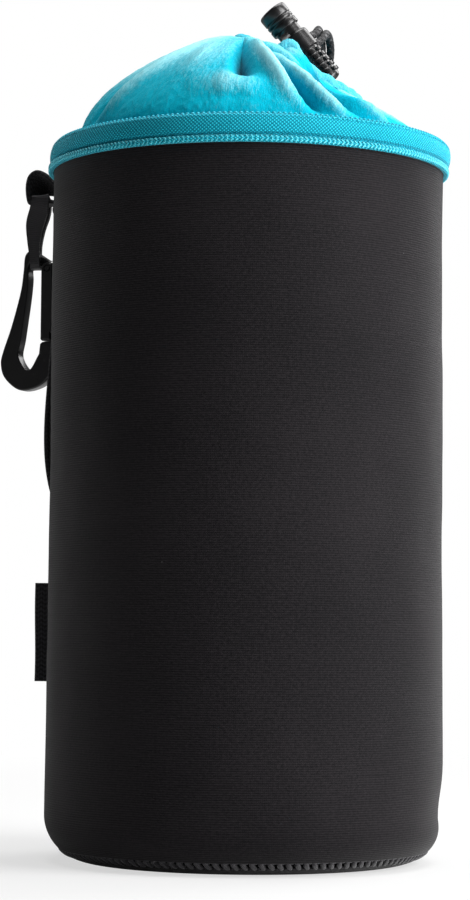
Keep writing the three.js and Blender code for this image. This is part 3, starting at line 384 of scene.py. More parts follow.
def grid_faces(points, closed_u, closed_v):
    """Quads over a grid, and the UV of their corners in metres."""
    rows, columns = points.shape[:2]
    i = np.arange(rows if closed_u else rows - 1)
    j = np.arange(columns if closed_v else columns - 1)
    across, down = np.meshgrid(i, j, indexing="ij")
    corners = [(across, down), (across + 1, down), (across + 1, down + 1), (across, down + 1)]
    quads = np.stack([(a % rows) * columns + b % columns for a, b in corners], -1).reshape(-1, 4)
    u = lengths_along(points, 0, closed_u)
    v = lengths_along(points, 1, closed_v)
    marks = np.stack([np.stack([u[a], v[b]], -1) for a, b in corners], -2).reshape(-1, 4, 2)
    return quads, marks


def signed_volume(vertices, quads):
    """Volume inside a closed set of quads, below 0 where they face inwards."""
    a, b, c, d = (vertices[quads[:, k]] for k in range(4))
    return (np.einsum("ij,ij->i", a, np.cross(b, c)) + np.einsum("ij,ij->i", a, np.cross(c, d))).sum()


def shell(points, closed_u=False, closed_v=True, capped=False):
    """One closed skin: a grid of rows and columns, or a stack of such grids in a fourth dimension. Its faces
    are turned outwards, and where it is capped, its first and last rows get a face each."""
    stack = points if points.ndim == 4 else points[None]
    quads, marks = grid_faces(stack[0], closed_u, closed_v)
    size = stack.shape[1] * stack.shape[2]
    everything = np.concatenate([quads + k * size for k in range(len(stack))])
    vertices = stack.reshape(-1, 3)
    inside_out = signed_volume(vertices - vertices.mean(0), everything) < 0
    if inside_out:
        everything = everything[:, ::-1]
        marks = marks[:, ::-1]
    ends = []
    if capped:
        columns = stack.shape[2]
        first = np.arange(columns)
        last = first + (stack.shape[1] - 1) * columns
        for k in range(len(stack)):
            ends.append((first if inside_out else first[::-1]) + k * size)
            ends.append((last[::-1] if inside_out else last) + k * size)
    return vertices, everything, np.tile(marks, (len(stack), 1, 1)), ends


MERGE_WITHIN = 0.0005 * MM


def piece(name, shells, slot, body="root", replaced=(), sharp=38.0, merge=True):
    """A mesh object from one or more shells, with its finish and its body; the nodes it stands for are
    hidden.
    """
    vertices, corner_list, counts, marks = [], [], [], []
    start = 0
    for points, quads, uv, ends in shells:
        vertices.append(points)
        corner_list.append((quads + start).ravel())
        counts.append(np.full(len(quads), 4))
        marks.append(uv.reshape(-1, 2))
        for end in ends:
            corner_list.append(end + start)
            counts.append(np.array([len(end)]))
            marks.append(points[end][:, [0, 2]])
        start += len(points)
    vertices = np.concatenate(vertices)
    corner_list = np.concatenate(corner_list)
    counts = np.concatenate(counts)
    mesh = bpy.data.meshes.new(name)
    mesh.vertices.add(len(vertices))
    mesh.vertices.foreach_set("co", vertices.astype(np.float32).ravel())
    mesh.loops.add(len(corner_list))
    mesh.loops.foreach_set("vertex_index", corner_list.astype(np.int32))
    mesh.polygons.add(len(counts))
    mesh.polygons.foreach_set("loop_start", (np.cumsum(counts) - counts).astype(np.int32))
    surface = mesh.uv_layers.new(name="surface").data
    surface.foreach_set("uv", np.concatenate(marks).astype(np.float32).ravel())
    mesh.update(calc_edges=True)
    if merge:
        work = bmesh.new()
        work.from_mesh(mesh)
        bmesh.ops.remove_doubles(work, verts=work.verts, dist=MERGE_WITHIN)
        work.to_mesh(mesh)
        work.free()
    mesh.validate()
    mesh.polygons.foreach_set("use_smooth", np.ones(len(mesh.polygons), bool))
    mesh.set_sharp_from_angle(angle=math.radians(sharp))
    made = bpy.data.objects.new(name, mesh)
    bpy.context.scene.collection.objects.link(made)
    return dress(made, slot, body, replaced)


def dress(made, slot, body, replaced=()):
    """Gives a piece its finish, hides the nodes it stands for, and sets the body it rides on, if it has one.
    """
    made.data.materials.clear()
    made.data.materials.append(FINISHES[slot])
    if replaced:
        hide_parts(*replaced)
    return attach(made, body) if body else made


def unit(vectors):
    """The same directions, each of length 1."""
    return vectors / np.linalg.norm(vectors, axis=-1, keepdims=True)


def ramp(value, low, high):
    """0 up to low, 1 from high on, and a straight rise between them."""
    return np.clip((value - low) / (high - low), 0, 1)


def revolve(radii, heights, steps):
    """Surface of revolution: each profile point goes once round the Z axis."""
    angle = np.arange(steps) * TURN / steps
    return np.stack([
        np.outer(np.cos(angle), radii), np.outer(np.sin(angle), radii), np.tile(heights, (steps, 1)),
    ], -1)


def tangents(path, closed):
    """Direction at each point of a path, from the point before to the point after."""
    if closed:
        return unit(np.roll(path, -1, 0) - np.roll(path, 1, 0))
    return unit(np.gradient(path, axis=0))


def sweep(path, side, section, closed=False):
    """A section carried along a path: its x lies along side, made square to the path, its y across both."""
    along = tangents(path, closed)
    side = np.broadcast_to(side, path.shape)
    side = unit(side - along * np.einsum("ij,ij->i", side, along)[:, None])
    rise = np.cross(along, side)
    section = np.broadcast_to(section, (len(path),) + np.shape(section)[-2:])
    return path[:, None] + side[:, None] * section[..., :1] + rise[:, None] * section[..., 1:]


def swell(share, power):
    """0 at both ends and 1 halfway: half a sine wave raised to a power."""
    return np.maximum(0, np.sin(np.pi * share)) ** power


def circle(radius, sides):
    """Points of a circle of the given radius."""
    angle = np.arange(sides) * TURN / sides
    return np.stack([np.cos(angle), np.sin(angle)], -1) * radius


def tape_section(width, thickness):
    """Flat section with half-round edges and a few points across each face."""
    half = width / 2 - thickness / 2
    edge = np.linspace(-math.pi / 2, math.pi / 2, 5)
    right = np.stack([half + thickness / 2 * np.cos(edge), thickness / 2 * np.sin(edge)], -1)
    face = np.linspace(half, -half, 8)[1:-1]
    top = np.stack([face, np.full(len(face), thickness / 2)], -1)
    return np.concatenate([right, top, -right, -top])


def catmull(points, steps, closed=False):
    """Smooth curve through points: each span is a Catmull-Rom cubic, sampled evenly."""
    points = np.asarray(points, float)
    count = len(points)
    if closed:
        before, start, end, after = (np.roll(points, k, 0) for k in (1, 0, -1, -2))
    else:
        padded = np.concatenate([[2 * points[0] - points[1]], points, [2 * points[-1] - points[-2]]])
        before, start, end, after = padded[:-3], padded[1:-2], padded[2:-1], padded[3:]
    t = (np.arange(steps) / steps)[None, :, None]
    before, start, end, after = (p[:, None] for p in (before, start, end, after))
    curve = 0.5 * (
        2 * start + (end - before) * t
        + (2 * before - 5 * start + 4 * end - after) * t ** 2
        + (3 * start - before - 3 * end + after) * t ** 3
    )
    curve = curve.reshape(-1, points.shape[1])
    return curve if closed else np.concatenate([curve, points[count - 1:]])


def evenly(path, count, closed=False):
    """The same line with its points spread at equal distances."""
    line = np.concatenate([path, path[:1]]) if closed else path
    steps = np.linalg.norm(np.diff(line, axis=0), axis=1)
    place = np.concatenate([[0.0], np.cumsum(steps)])
    wanted = np.linspace(0, place[-1], count + 1)[:-1] if closed else np.linspace(0, place[-1], count)
    return np.stack([np.interp(wanted, place, line[:, k]) for k in range(line.shape[1])], -1)


NOISE_ROWS = 64


def value_noise(x, y, seed, round_x):
    """Smooth noise from -1 to 1: a random value at each whole x and y, blended by smoothsteps;
    it repeats after round_x, so it closes round a ring."""
    values = np.random.default_rng(seed).random((round_x, NOISE_ROWS)) * 2 - 1
    i, j = np.floor(x).astype(int), np.floor(y).astype(int)
    s, t = x - i, y - j
    s, t = s * s * (3 - 2 * s), t * t * (3 - 2 * t)
    left, right = i % round_x, (i + 1) % round_x
    near, far = j % NOISE_ROWS, (j + 1) % NOISE_ROWS
    low = values[left, near] * (1 - s) + values[right, near] * s
    high = values[left, far] * (1 - s) + values[right, far] * s
    return low * (1 - t) + high * t


def beads(centres, along, out, size, rows=7, sides=6):
    """Rounded stitches of one size, its length, width and height: each is an ellipsoid, long in its own
    direction and half sunk where it lies."""
    length, width, height = size
    share = np.linspace(-1, 1, rows)
    girth = np.sqrt(np.maximum(0, 1 - share ** 2)) ** 0.7
    ring = circle(1.0, sides)
    across = unit(np.cross(along, out))
    line = centres[:, None] + along[:, None] * (share * length / 2)[None, :, None]
    spread = across[:, None, None] * (ring[:, 0] * width / 2)[None, None, :, None]
    lift = out[:, None, None] * (ring[:, 1] * height)[None, None, :, None]
    return line[:, :, None] + (spread + lift) * girth[None, :, None, None]


def turned(points, azimuth):
    """Points of a side fitting's own frame, X away from the pouch's axis, turned to its azimuth."""
    c, s = math.cos(azimuth), math.sin(azimuth)
    return points @ np.array([[c, s, 0], [-s, c, 0], [0, 0, 1]])


def bezier(start, first, second, end, share):
    """Cubic curve from start to end, pulled towards two handles."""
    rest = 1 - share
    return (
        rest ** 3 * start + 3 * rest ** 2 * share * first
        + 3 * rest * share ** 2 * second + share ** 3 * end
    )


# Cords: loop in the hem, and two tails that run through the lock and down the back

CORD_SPACING = 2.8 * MM

# Middle between the two tails in millimetres, and the direction from it to the lower tail
TAIL_ROUTE = np.array([
    [8.56, -9.99, 223.5, 0.87, -0.19, -0.46],
    [9.9, -6.7, 225, 0.76, -0.1, -0.64],
    [11.89, -3.29, 226.64, 0.643, 0, -0.766],
    [14, 0, 228.41, 0.643, 0, -0.766],
    [16.46, 3.83, 230.48, 0.643, 0, -0.766],
    [18.9, 7.66, 232.7, 0.643, 0, -0.766],
    [20, 10.6, 234.6, 0.7, -0.1, -0.7],
    [20.6, 13.6, 235.5, 0.85, -0.2, -0.4],
    [21.3, 16.6, 234.6, 0.95, -0.1, -0.25],
    [21.8, 18.8, 231.6, 0.99, 0, -0.1],
    [22.1, 20.4, 227.2, 1, 0, 0],
    [22.4, 22.2, 222.4, 1, 0, 0],
    [22.8, 24.8, 218.4, 1, 0, 0],
    [22.9, 28.4, 215.7, 1, 0, 0],
    [22.8, 32.4, 213.8, 1, 0, 0],
    [22.6, 36.4, 211.8, 1, 0, 0],
    [22.2, 40.4, 209.1, 1, -0.1, 0],
    [21.7, 44.2, 205.7, 1, -0.2, 0],
    [21.1, 47.8, 202.5, 1, -0.3, 0],
    [20.6, 51.2, 200.5, 1, -0.36, 0],
    [20.2, 53.5, 198, 1, -0.38, 0],
    [20, 54.3, 195, 1, -0.38, 0],
    [20, 54.2, 191, 1, -0.38, 0],
    [20, 53.6, 187, 1, -0.38, 0],
    [20, 52.9, 182, 1, -0.38, 0],
    [20, 52.7, 176, 1, -0.38, 0],
    [20, 52.7, 166, 1, -0.38, 0],
    [20, 52.7, 156, 1, -0.38, 0],
    [20, 53, 148, 1, -0.38, 0],
    [20, 54.2, 142, 1, -0.38, 0],
    [20, 55.4, 137, 1, -0.38, 0],
])

# From the hem to the top of their arch, the tails move over with the lock
TAIL_ROUTE[:10, :3] += [0.5, 0, -0.2]
TAIL_ROUTE[:, :3] *= MM

# How close the two lie at each point: closer in the arch than elsewhere
TAIL_SPACINGS = np.full((len(TAIL_ROUTE), 1), CORD_SPACING)
TAIL_SPACINGS[5:14] *= 0.9
TAIL_POINTS = 420


def cord_section(path, diameter, sides=20):
    """Round section with the low relief of eight braided strands that cross along the cord."""
    distance = np.concatenate([[0.0], np.cumsum(np.linalg.norm(np.diff(path, axis=0), axis=1))])
    angle = np.arange(sides) * TURN / sides
    twist = distance[:, None] / BRAID_PITCH * TURN
    relief = np.sin(2 * angle + twist) * np.sin(2 * angle - twist)
    radius = diameter / 2 * (0.97 + 0.05 * relief)
    return np.stack([np.cos(angle) * radius, np.sin(angle) * radius], -1)


knot_foot = TAIL_ROUTE[-1, :3]
KNOT_WRAPS = 3
KNOT_START = -1.4 * MM
KNOT_RADIUS = 2.5 * MM
KNOT_LENGTH = 9 * MM
KNOT_RISE = 2.3 * MM
KNOT_END_LENGTH = 9 * MM


def make_knot():
    """Barrel knot: one tail wound as a helix round both, and the two short ends below it."""
    share = np.linspace(0, 1, 120)
    angle = share * KNOT_WRAPS * TURN
    wind = np.stack([
        KNOT_RADIUS * np.cos(angle) * np.sin(np.pi * np.clip(share * 6, 0, 0.5)),
        KNOT_RADIUS * np.sin(angle),
        KNOT_START - share * KNOT_WRAPS * KNOT_RISE,
    ], -1) + knot_foot
    shells = [shell(sweep(wind, np.array([0, 0, 1.0]), cord_section(wind, CORD_DIAMETER)), capped=True)]
    for side in (-1, 1):
        reach = side * CORD_SPACING / 2
        points = np.array([
            [reach, 0, 1 * MM], [reach, 0, -KNOT_LENGTH / 2], [reach, 0, -KNOT_LENGTH],
            [reach * 1.5, 0, -KNOT_LENGTH - KNOT_END_LENGTH * 0.6],
            [reach * 1.8, 0, -KNOT_LENGTH - KNOT_END_LENGTH - side * CORD_DIAMETER * 0.5],
        ])
        path = evenly(catmull(points, 12), 60) + knot_foot
        skin = sweep(path, np.array([0, 1.0, 0]), cord_section(path, CORD_DIAMETER))
        shells.append(shell(skin, capped=True))
    return piece("drawcord_knot", shells, "cord", replaced=["cord_knot"])


def make_tail(name, node, side):
    """One tail: a braided section carried along its own side of the route."""
    places = TAIL_ROUTE[:, :3] + unit(TAIL_ROUTE[:, 3:]) * side * TAIL_SPACINGS / 2
    path = evenly(catmull(places, 16), TAIL_POINTS)
    share = np.linspace(0, 1, TAIL_POINTS)
    route_share = np.linspace(0, 1, len(TAIL_ROUTE))
    sides = np.stack([np.interp(share, route_share, TAIL_ROUTE[:, k]) for k in (3, 4, 5)], -1)
    skin = sweep(path, sides, cord_section(path, CORD_DIAMETER))
    tail = piece(name, [shell(skin, capped=True)], "cord", replaced=[node])


knot = make_knot()
make_tail("drawcord_upper", "drawcord_tail_upper", -1)
make_tail("drawcord_lower", "drawcord_tail_lower", 1)


# Neoprene wall and base, with the overlocked seam between them

BODY_RADIUS = 55 * MM
RIM_RADIUS = 54.5 * MM
BODY_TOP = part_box("neoprene_wall")[1].z
CORNER = 12.5 * MM
WALL = 3.2 * MM
SIDE_SEAM = math.radians(177)
SEAM_DEPTH = 0.35 * MM
SEAM_HALF_WIDTH = 0.7 * MM
corner_middle = BODY_RADIUS - CORNER

# The overlocked seam: its ring, and the notch that the two rounded edges leave for the thread
SEAM_RING = 50 * MM
NOTCH = 1.5 * MM
NOTCH_TURN = math.radians(7.5)
seam_angle = -math.acos((SEAM_RING - corner_middle) / CORNER)

# Slow dents of the soft wall: depth, how many go round, height of one, and seed
WALL_DENTS = [
    [0.22 * MM, 14, 22 * MM, 5],
    [0.10 * MM, 40, 9 * MM, 6],
]
DENTS_FROM = 4 * MM
DENTS_FULL = 12 * MM

# Sag low on the right: how deep, how high up and over what height, and how far round in shares of a cosine
SAG_DEPTH = 1.4 * MM
SAG_HEIGHT = 13 * MM
SAG_REACH = 8 * MM
SAG_ROUND_SHARE = 0.12


def arc(centre, height, radius, start, end, steps):
    """Radii and heights of an arc in a profile."""
    angle = np.linspace(start, end, steps)
    return np.stack([centre + radius * np.cos(angle), height + radius * np.sin(angle)], -1)


def corner_arc(depth, start, end, steps):
    """Arc round the body's lower corner, a depth inside its skin; it starts and ends so many widths of the
    notch away from the seam."""
    ends = [seam_angle + NOTCH_TURN * share for share in (start, end)]
    return arc(corner_middle, CORNER, CORNER - depth, *ends, steps)


def wall_radius(z):
    """Radius of the wall's skin, which narrows a little from the lower corner to the rim."""
    return BODY_RADIUS + (RIM_RADIUS - BODY_RADIUS) * ramp(z, CORNER, BODY_TOP)


def make_wall():
    """Padded wall: a profile up the outside and down the inside goes round the axis; the outside has slow
    dents of a soft wall, a shallow side seam, a sag low on the right, and a rounded edge that dips into the
    base seam."""
    level = -seam_angle / NOTCH_TURN
    heights = np.linspace(CORNER, BODY_TOP, 90)
    outside = np.concatenate([
        corner_arc(NOTCH, 0.15, 0.3, 3),
        corner_arc(NOTCH * 0.3, 0.6, 0.7, 2),
        corner_arc(0, 1, level, 20)[:-1],
        np.stack([wall_radius(heights), heights], -1),
    ])
    inside = np.concatenate([[[RIM_RADIUS - WALL, BODY_TOP]], corner_arc(WALL, level, 0.15, 10)])
    profile = np.concatenate([outside, inside])
    steps = 300
    points = revolve(profile[:, 0], profile[:, 1], steps)
    angle = (np.arange(steps) * TURN / steps)[:, None]
    z = profile[None, :len(outside), 1]
    dents = sum(
        depth * value_noise(angle * count / TURN, z / height, seed, count)
        for depth, count, height, seed in WALL_DENTS
    )
    seam = -SEAM_DEPTH * np.exp(-((angle - SIDE_SEAM) * BODY_RADIUS / SEAM_HALF_WIDTH) ** 2)
    round_the_right = np.exp((np.cos(angle) - 1) / SAG_ROUND_SHARE)
    sag = -SAG_DEPTH * round_the_right * np.exp(-((z - SAG_HEIGHT) / SAG_REACH) ** 2)
    out = np.concatenate([np.cos(angle), np.sin(angle), 0 * angle], -1)[:, None]
    points[:, :len(outside)] += out * ((dents + seam + sag) * ramp(z, DENTS_FROM, DENTS_FULL))[..., None]
    return piece("padded_wall", [shell(points, closed_u=True)], "neoprene", replaced=["neoprene_wall"])


def make_base():
    """Base panel: the same profile turned in under the wall, closed at its middle."""
    under = (-math.pi / 2 - seam_angle) / NOTCH_TURN
    flat = np.linspace(4 * MM, corner_middle - 4 * MM, 8)
    outside = np.concatenate([
        [[0, 0]],
        np.stack([flat, 0 * flat], -1),
        corner_arc(0, under, -1, 8),
        corner_arc(NOTCH * 0.3, -0.7, -0.6, 2),
        corner_arc(NOTCH, -0.3, -0.15, 3),
    ])
    inside = np.concatenate([corner_arc(WALL, -0.15, under, 8), [[0, WALL]]])
    profile = np.concatenate([outside, inside])
    points = revolve(profile[:, 0], profile[:, 1], 180)
    return piece("padded_base", [shell(points, closed_u=True, closed_v=False)], "neoprene",
                 replaced=["base_panel"])


padded_wall = make_wall()
padded_base = make_base()


# Stitches: length, width and height of each
OVERLOCK_SIZE = (3.6 * MM, 1.5 * MM, 0.55 * MM)
OVERLOCK_COUNT = 132
OVERLOCK_SLANT = 0.55
OVERLOCK_SUNK = 0.25 * MM
EDGE_THREAD_SIZE = (2.7 * MM, 0.6 * MM, 0.32 * MM)
EDGE_THREAD_OFFSET = 1.35 * MM
EDGE_THREAD_SUNK = 0.12 * MM
SIDE_STITCH_SIZE = (2.3 * MM, 0.45 * MM, 0.28 * MM)
SIDE_STITCH_PITCH = 1.7 * MM
SIDE_STITCH_SUNK = 0.12 * MM
SIDE_STITCHES_FROM = 17 * MM
SIDE_STITCHES_BELOW_TOP = 9 * MM


def ring_places(radius, height, count):
    """Even places round a ring, with the directions along it and out of it."""
    angle = np.arange(count) * TURN / count
    out = np.stack([np.cos(angle), np.sin(angle), 0 * angle], -1)
    along = np.stack([-np.sin(angle), np.cos(angle), 0 * angle], -1)
    return out * radius + np.array([0, 0, height]), along, out


def make_base_seam():
    """Overlock: slanting stitches that wrap the two edges, side by side round the seam."""
    ring = CORNER - OVERLOCK_SUNK
    radius = corner_middle + ring * math.cos(seam_angle)
    height = CORNER + ring * math.sin(seam_angle)
    centres, along, out = ring_places(radius, height, OVERLOCK_COUNT)
    outward = unit(out * math.cos(seam_angle) + np.array([0, 0, math.sin(seam_angle)]))
    across = np.cross(along, outward)
    slanted = unit(across + along * OVERLOCK_SLANT)
    stitches = beads(centres, slanted, outward, OVERLOCK_SIZE, rows=9, sides=8)
    edges = []
    for side in (-1, 1):
        line = centres + across * side * EDGE_THREAD_OFFSET - outward * EDGE_THREAD_SUNK
        edges.append(beads(line, along, outward, EDGE_THREAD_SIZE))
    return piece("base_overlock", [shell(s) for s in (stitches, *edges)], "dark_thread",
                 replaced=["base_seam_thread"])


def make_side_seam():
    """Flat seam down the side where the tag is sewn in: short slanting stitches across the joined edges."""
    heights = np.arange(SIDE_STITCHES_FROM, BODY_TOP - SIDE_STITCHES_BELOW_TOP, SIDE_STITCH_PITCH)
    out = np.array([math.cos(SIDE_SEAM), math.sin(SIDE_SEAM), 0.0])
    around = np.array([-out[1], out[0], 0.0])
    centres = out * (wall_radius(heights) - SIDE_STITCH_SUNK)[:, None]
    centres = centres + np.array([0, 0, 1.0]) * heights[:, None]
    zigzag = np.where(np.arange(len(heights)) % 2 == 0, 1.0, -1.0)[:, None]
    along = unit(around * zigzag + np.array([0, 0, 0.9]))
    outs = np.broadcast_to(out, along.shape)
    stitches = beads(centres, along, outs, SIDE_STITCH_SIZE)
    return piece("side_seam_stitches", [shell(stitches)], "dark_thread")


make_base_seam()
make_side_seam()


# Lining

LINING = 1.6 * MM
SEAT = 0.3 * MM
LINING_SEAM = -0.39 * math.pi
LINING_GAP = 0.03
LINING_PILE = 0.15 * MM
lining_outside = RIM_RADIUS - WALL - SEAT
lining_corner = CORNER - WALL - SEAT


def pile(points, seed, depth, cells_u, cells_v):
    """Short uneven pile: each point moves along its normal by fine value noise."""
    across = np.roll(points, -1, 0) - np.roll(points, 1, 0)
    down = np.gradient(points, axis=1)
    normal = np.cross(across, down)
    normal /= np.maximum(np.linalg.norm(normal, axis=-1, keepdims=True), 1e-12)
    rows, columns = points.shape[:2]
    u = (np.arange(rows) / rows * cells_u)[:, None]
    v = (np.arange(columns) / columns * cells_v)[None, :]
    return points + normal * (depth * value_noise(u, v, seed, cells_u))[..., None]


def make_linings():
    """Fleece inside the wall and over the base, from the same rounded profile."""
    profile = np.concatenate([
        arc(corner_middle, CORNER, lining_corner, LINING_SEAM, 0, 8),
        [[lining_outside, BODY_TOP]],
        np.stack([
            np.linspace(lining_outside - LINING, corner_middle + lining_corner - LINING, 60),
            np.linspace(BODY_TOP, CORNER, 60),
        ], -1),
        arc(corner_middle, CORNER, lining_corner - LINING, 0, LINING_SEAM, 8)[1:],
    ])
    points = pile(revolve(profile[:, 0], profile[:, 1], 240), 11, LINING_PILE, 160, 60)
    piece("fleece_wall_lining", [shell(points, closed_u=True)], "fleece", replaced=["wall_lining"])
    low = WALL + SEAT
    edge = LINING_SEAM - LINING_GAP
    flat = np.linspace(corner_middle - 2 * MM, 2 * MM, 30)
    base = np.concatenate([
        [[0, low]],
        arc(corner_middle, CORNER, lining_corner, -math.pi / 2, edge, 6),
        arc(corner_middle, CORNER, lining_corner - LINING, edge, -math.pi / 2, 6),
        np.stack([flat, 0 * flat + low + LINING], -1),
        [[0, low + LINING]],
    ])
    points = revolve(base[:, 0], base[:, 1], 180)
    piece("fleece_base_lining", [shell(points, closed_u=True, closed_v=False)], "fleece",
          replaced=["base_lining"])


make_linings()


# Binding over the rim

binding_low, binding_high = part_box("rim_binding")
BINDING_OUTSIDE = 55.8 * MM
BINDING_THICKNESS = 1 * MM
CROWN = binding_high.z
BINDING_BOTTOM = binding_low.z
LIP_HEIGHT = 1.7 * MM
LIP_SWELL = 0.45 * MM
LIP_SUNK = 0.15 * MM
GROOVE_HEIGHT = 0.9 * MM
GROOVE_DEPTH = 0.75 * MM
BAND_SWELL = 0.4 * MM
BAND_SUNK = 0.1 * MM
INNER_LEG = 7 * MM
LATTICE_RELIEF = 0.09 * MM
BINDING_WAVES = 0.18 * MM
BINDING_WAVE_COUNT = 18
RIM_LEAN = 0.7 * MM
LEG_INSIDE = lining_outside - LINING - SEAT - BINDING_THICKNESS


def make_binding():
    """Knitted tape folded over the rim: its section goes round the axis, swells between the stitch rows,
    carries a lattice of small loops as real relief, and leans a little to the right towards its crown."""
    groove = BINDING_BOTTOM + LIP_HEIGHT
    lip = np.linspace(BINDING_BOTTOM, groove, 9)
    leg = np.linspace(groove + GROOVE_HEIGHT, CROWN - BINDING_THICKNESS * 0.9, 26)
    lip_share = (lip - BINDING_BOTTOM) / LIP_HEIGHT
    leg_share = (leg - leg[0]) / (leg[-1] - leg[0])
    round_height = CROWN - BINDING_THICKNESS
    inner_middle = LEG_INSIDE + BINDING_THICKNESS
    section = np.concatenate([
        np.stack([BINDING_OUTSIDE - LIP_SUNK + LIP_SWELL * swell(lip_share, 0.7), lip], -1),
        [[BINDING_OUTSIDE - GROOVE_DEPTH, groove + GROOVE_HEIGHT * 0.3]],
        [[BINDING_OUTSIDE - GROOVE_DEPTH, groove + GROOVE_HEIGHT * 0.7]],
        np.stack([BINDING_OUTSIDE - BAND_SUNK + BAND_SWELL * swell(leg_share, 0.6), leg], -1),
        arc(BINDING_OUTSIDE - BINDING_THICKNESS, round_height, BINDING_THICKNESS, 0.15, math.pi / 2, 7),
        arc(inner_middle, round_height, BINDING_THICKNESS, math.pi / 2, math.pi, 6),
        [[LEG_INSIDE, CROWN - INNER_LEG]],
        [[inner_middle, CROWN - INNER_LEG]],
        [[inner_middle, BODY_TOP + SEAT]],
        [[RIM_RADIUS + SEAT, BODY_TOP + SEAT]],
        [[RIM_RADIUS + SEAT, BINDING_BOTTOM]],
    ])
    steps = 1330
    points = revolve(section[:, 0], section[:, 1], steps)
    angle = np.arange(steps) * TURN / steps
    loop_count = round(TURN * BINDING_OUTSIDE / BINDING_PITCH)
    shown = len(lip) + 2 + len(leg) + 7
    up = np.concatenate([[0.0], np.cumsum(np.linalg.norm(np.diff(section[:shown], axis=0), axis=1))])
    round_turn = (angle * loop_count)[:, None]
    up_turn = (TURN * up / BINDING_ROW)[None, :]
    lattice = np.sin(round_turn + up_turn) * np.sin(round_turn - up_turn)
    waves = BINDING_WAVES * value_noise(angle * BINDING_WAVE_COUNT / TURN, 0 * angle, 21, BINDING_WAVE_COUNT)
    out = np.stack([np.cos(angle), np.sin(angle), 0 * angle], -1)[:, None]
    points[:, :shown] += out * (LATTICE_RELIEF * lattice + waves[:, None])[..., None]
    points[:, :shown, 0] += RIM_LEAN * ramp(section[None, :shown, 1], BINDING_BOTTOM, CROWN)
    return piece("knitted_binding", [shell(points, closed_u=True)], "binding", replaced=["rim_binding"])


# Stitches of the binding: length, width and height of each, how many go round, and how they slant
GROOVE_STITCH_SIZE = (1.2 * MM, 0.45 * MM, 0.2 * MM)
GROOVE_STITCH_COUNT = 250
GROOVE_STITCH_SUNK = 0.62 * MM
GROOVE_SLANT = 0.25
CHEVRON_SIZE = (1.35 * MM, 0.52 * MM, 0.26 * MM)
CHEVRON_COUNT = 270
CHEVRON_PROUD = 0.2 * MM
CHEVRON_ROWS = [[0.5 * MM, 0.8], [1.25 * MM, -0.8]]
SCALLOP_SIZE = (2.0 * MM, 1.15 * MM, 0.26 * MM)
SCALLOP_COUNT = 240
SCALLOP_IN = 0.75 * MM
SCALLOP_BELOW = 0.1 * MM
SCALLOP_SLANT = 0.25


def make_groove_stitches():
    """Row of slightly slanting stitches in the groove between lip and band."""
    middle = BINDING_BOTTOM + LIP_HEIGHT + GROOVE_HEIGHT / 2
    centres, along, out = ring_places(BINDING_OUTSIDE - GROOVE_STITCH_SUNK, middle, GROOVE_STITCH_COUNT)
    slanted = unit(along + np.array([0, 0, GROOVE_SLANT]))
    return piece("groove_stitches", [shell(beads(centres, slanted, out, GROOVE_STITCH_SIZE))], "binding")


def make_binding_stitches():
    """Chevrons over the lip: two rows of stitches that slant against each other."""
    rows = []
    for height, slant in CHEVRON_ROWS:
        radius = BINDING_OUTSIDE + CHEVRON_PROUD
        centres, along, out = ring_places(radius, BINDING_BOTTOM + height, CHEVRON_COUNT)
        rows.append(shell(beads(centres, unit(along + np.array([0, 0, slant])), out, CHEVRON_SIZE)))
    return piece("binding_stitches", rows, "bright_thread", replaced=["binding_thread"])


def make_scallops():
    """Scallops where the collar is sewn to the binding's crown: short loops lying over the edge."""
    centres, along, out = ring_places(BINDING_OUTSIDE - SCALLOP_IN, CROWN - SCALLOP_BELOW, SCALLOP_COUNT)
    centres = centres + np.array([RIM_LEAN, 0, 0])
    over = unit(out + np.array([0, 0, 1.0]))
    across = unit(np.cross(along, over))
    loops = beads(centres, unit(across + along * SCALLOP_SLANT), over, SCALLOP_SIZE, sides=8)
    return piece("collar_edge_scallops", [shell(loops)], "binding")


make_binding()
make_groove_stitches()
make_binding_stitches()
make_scallops()


# Gathered fleece collar

COLLAR_THICKNESS = 1.6 * MM
COLLAR_FOOT = 47 * MM
MOUTH_CENTRE = np.array([13.5, 0.0, 219.3]) * MM
MOUTH_HALF_LENGTH = 16 * MM
MOUTH_HALF_FRONT = 10.5 * MM
MOUTH_HALF_BACK = 13.5 * MM
MOUTH_FALL = 15.6 * MM
MOUTH_BACK_DROP = 3 * MM
MOUTH_LEFT_LIFT = 1.2 * MM
FRONT_LIP_LIFT = 5 * MM
FRONT_LIP_AT = 264.0
FRONT_LIP_SPREAD = 13.0
GATHER_SHIFT = 52.0
GATHER_AT = 300.0
GATHER_SPREAD = 75.0
HEM_ROLL = 2.9 * MM
HEM_CHANNEL = 1.6 * MM
HEM_PUCKER_SHARE = 0.07
HEM_STEPS = 22
PLEAT_COUNT = 23
FOLD_DEPTH = 3.4 * MM
COLLAR_PILE = 0.11 * MM
TAIL_DEPTHS = np.array([-6.5, -3.0, -0.3]) * MM

# How far the cloth's handles lie out of the rim, up from it, out of the hem and up from it, at the left, at
# the right and between them
COLLAR_PUFF = 15.5 * MM
LEFT_HANDLES = np.array([0.01, 0.74, 0.88, 0.06]) * COLLAR_PUFF
RIGHT_HANDLES = np.array([0.45, 0.06, 0.41, -0.505]) * COLLAR_PUFF
MIDDLE_HANDLES = np.array([0.035, 0.67, 0.64, 0.42]) * COLLAR_PUFF

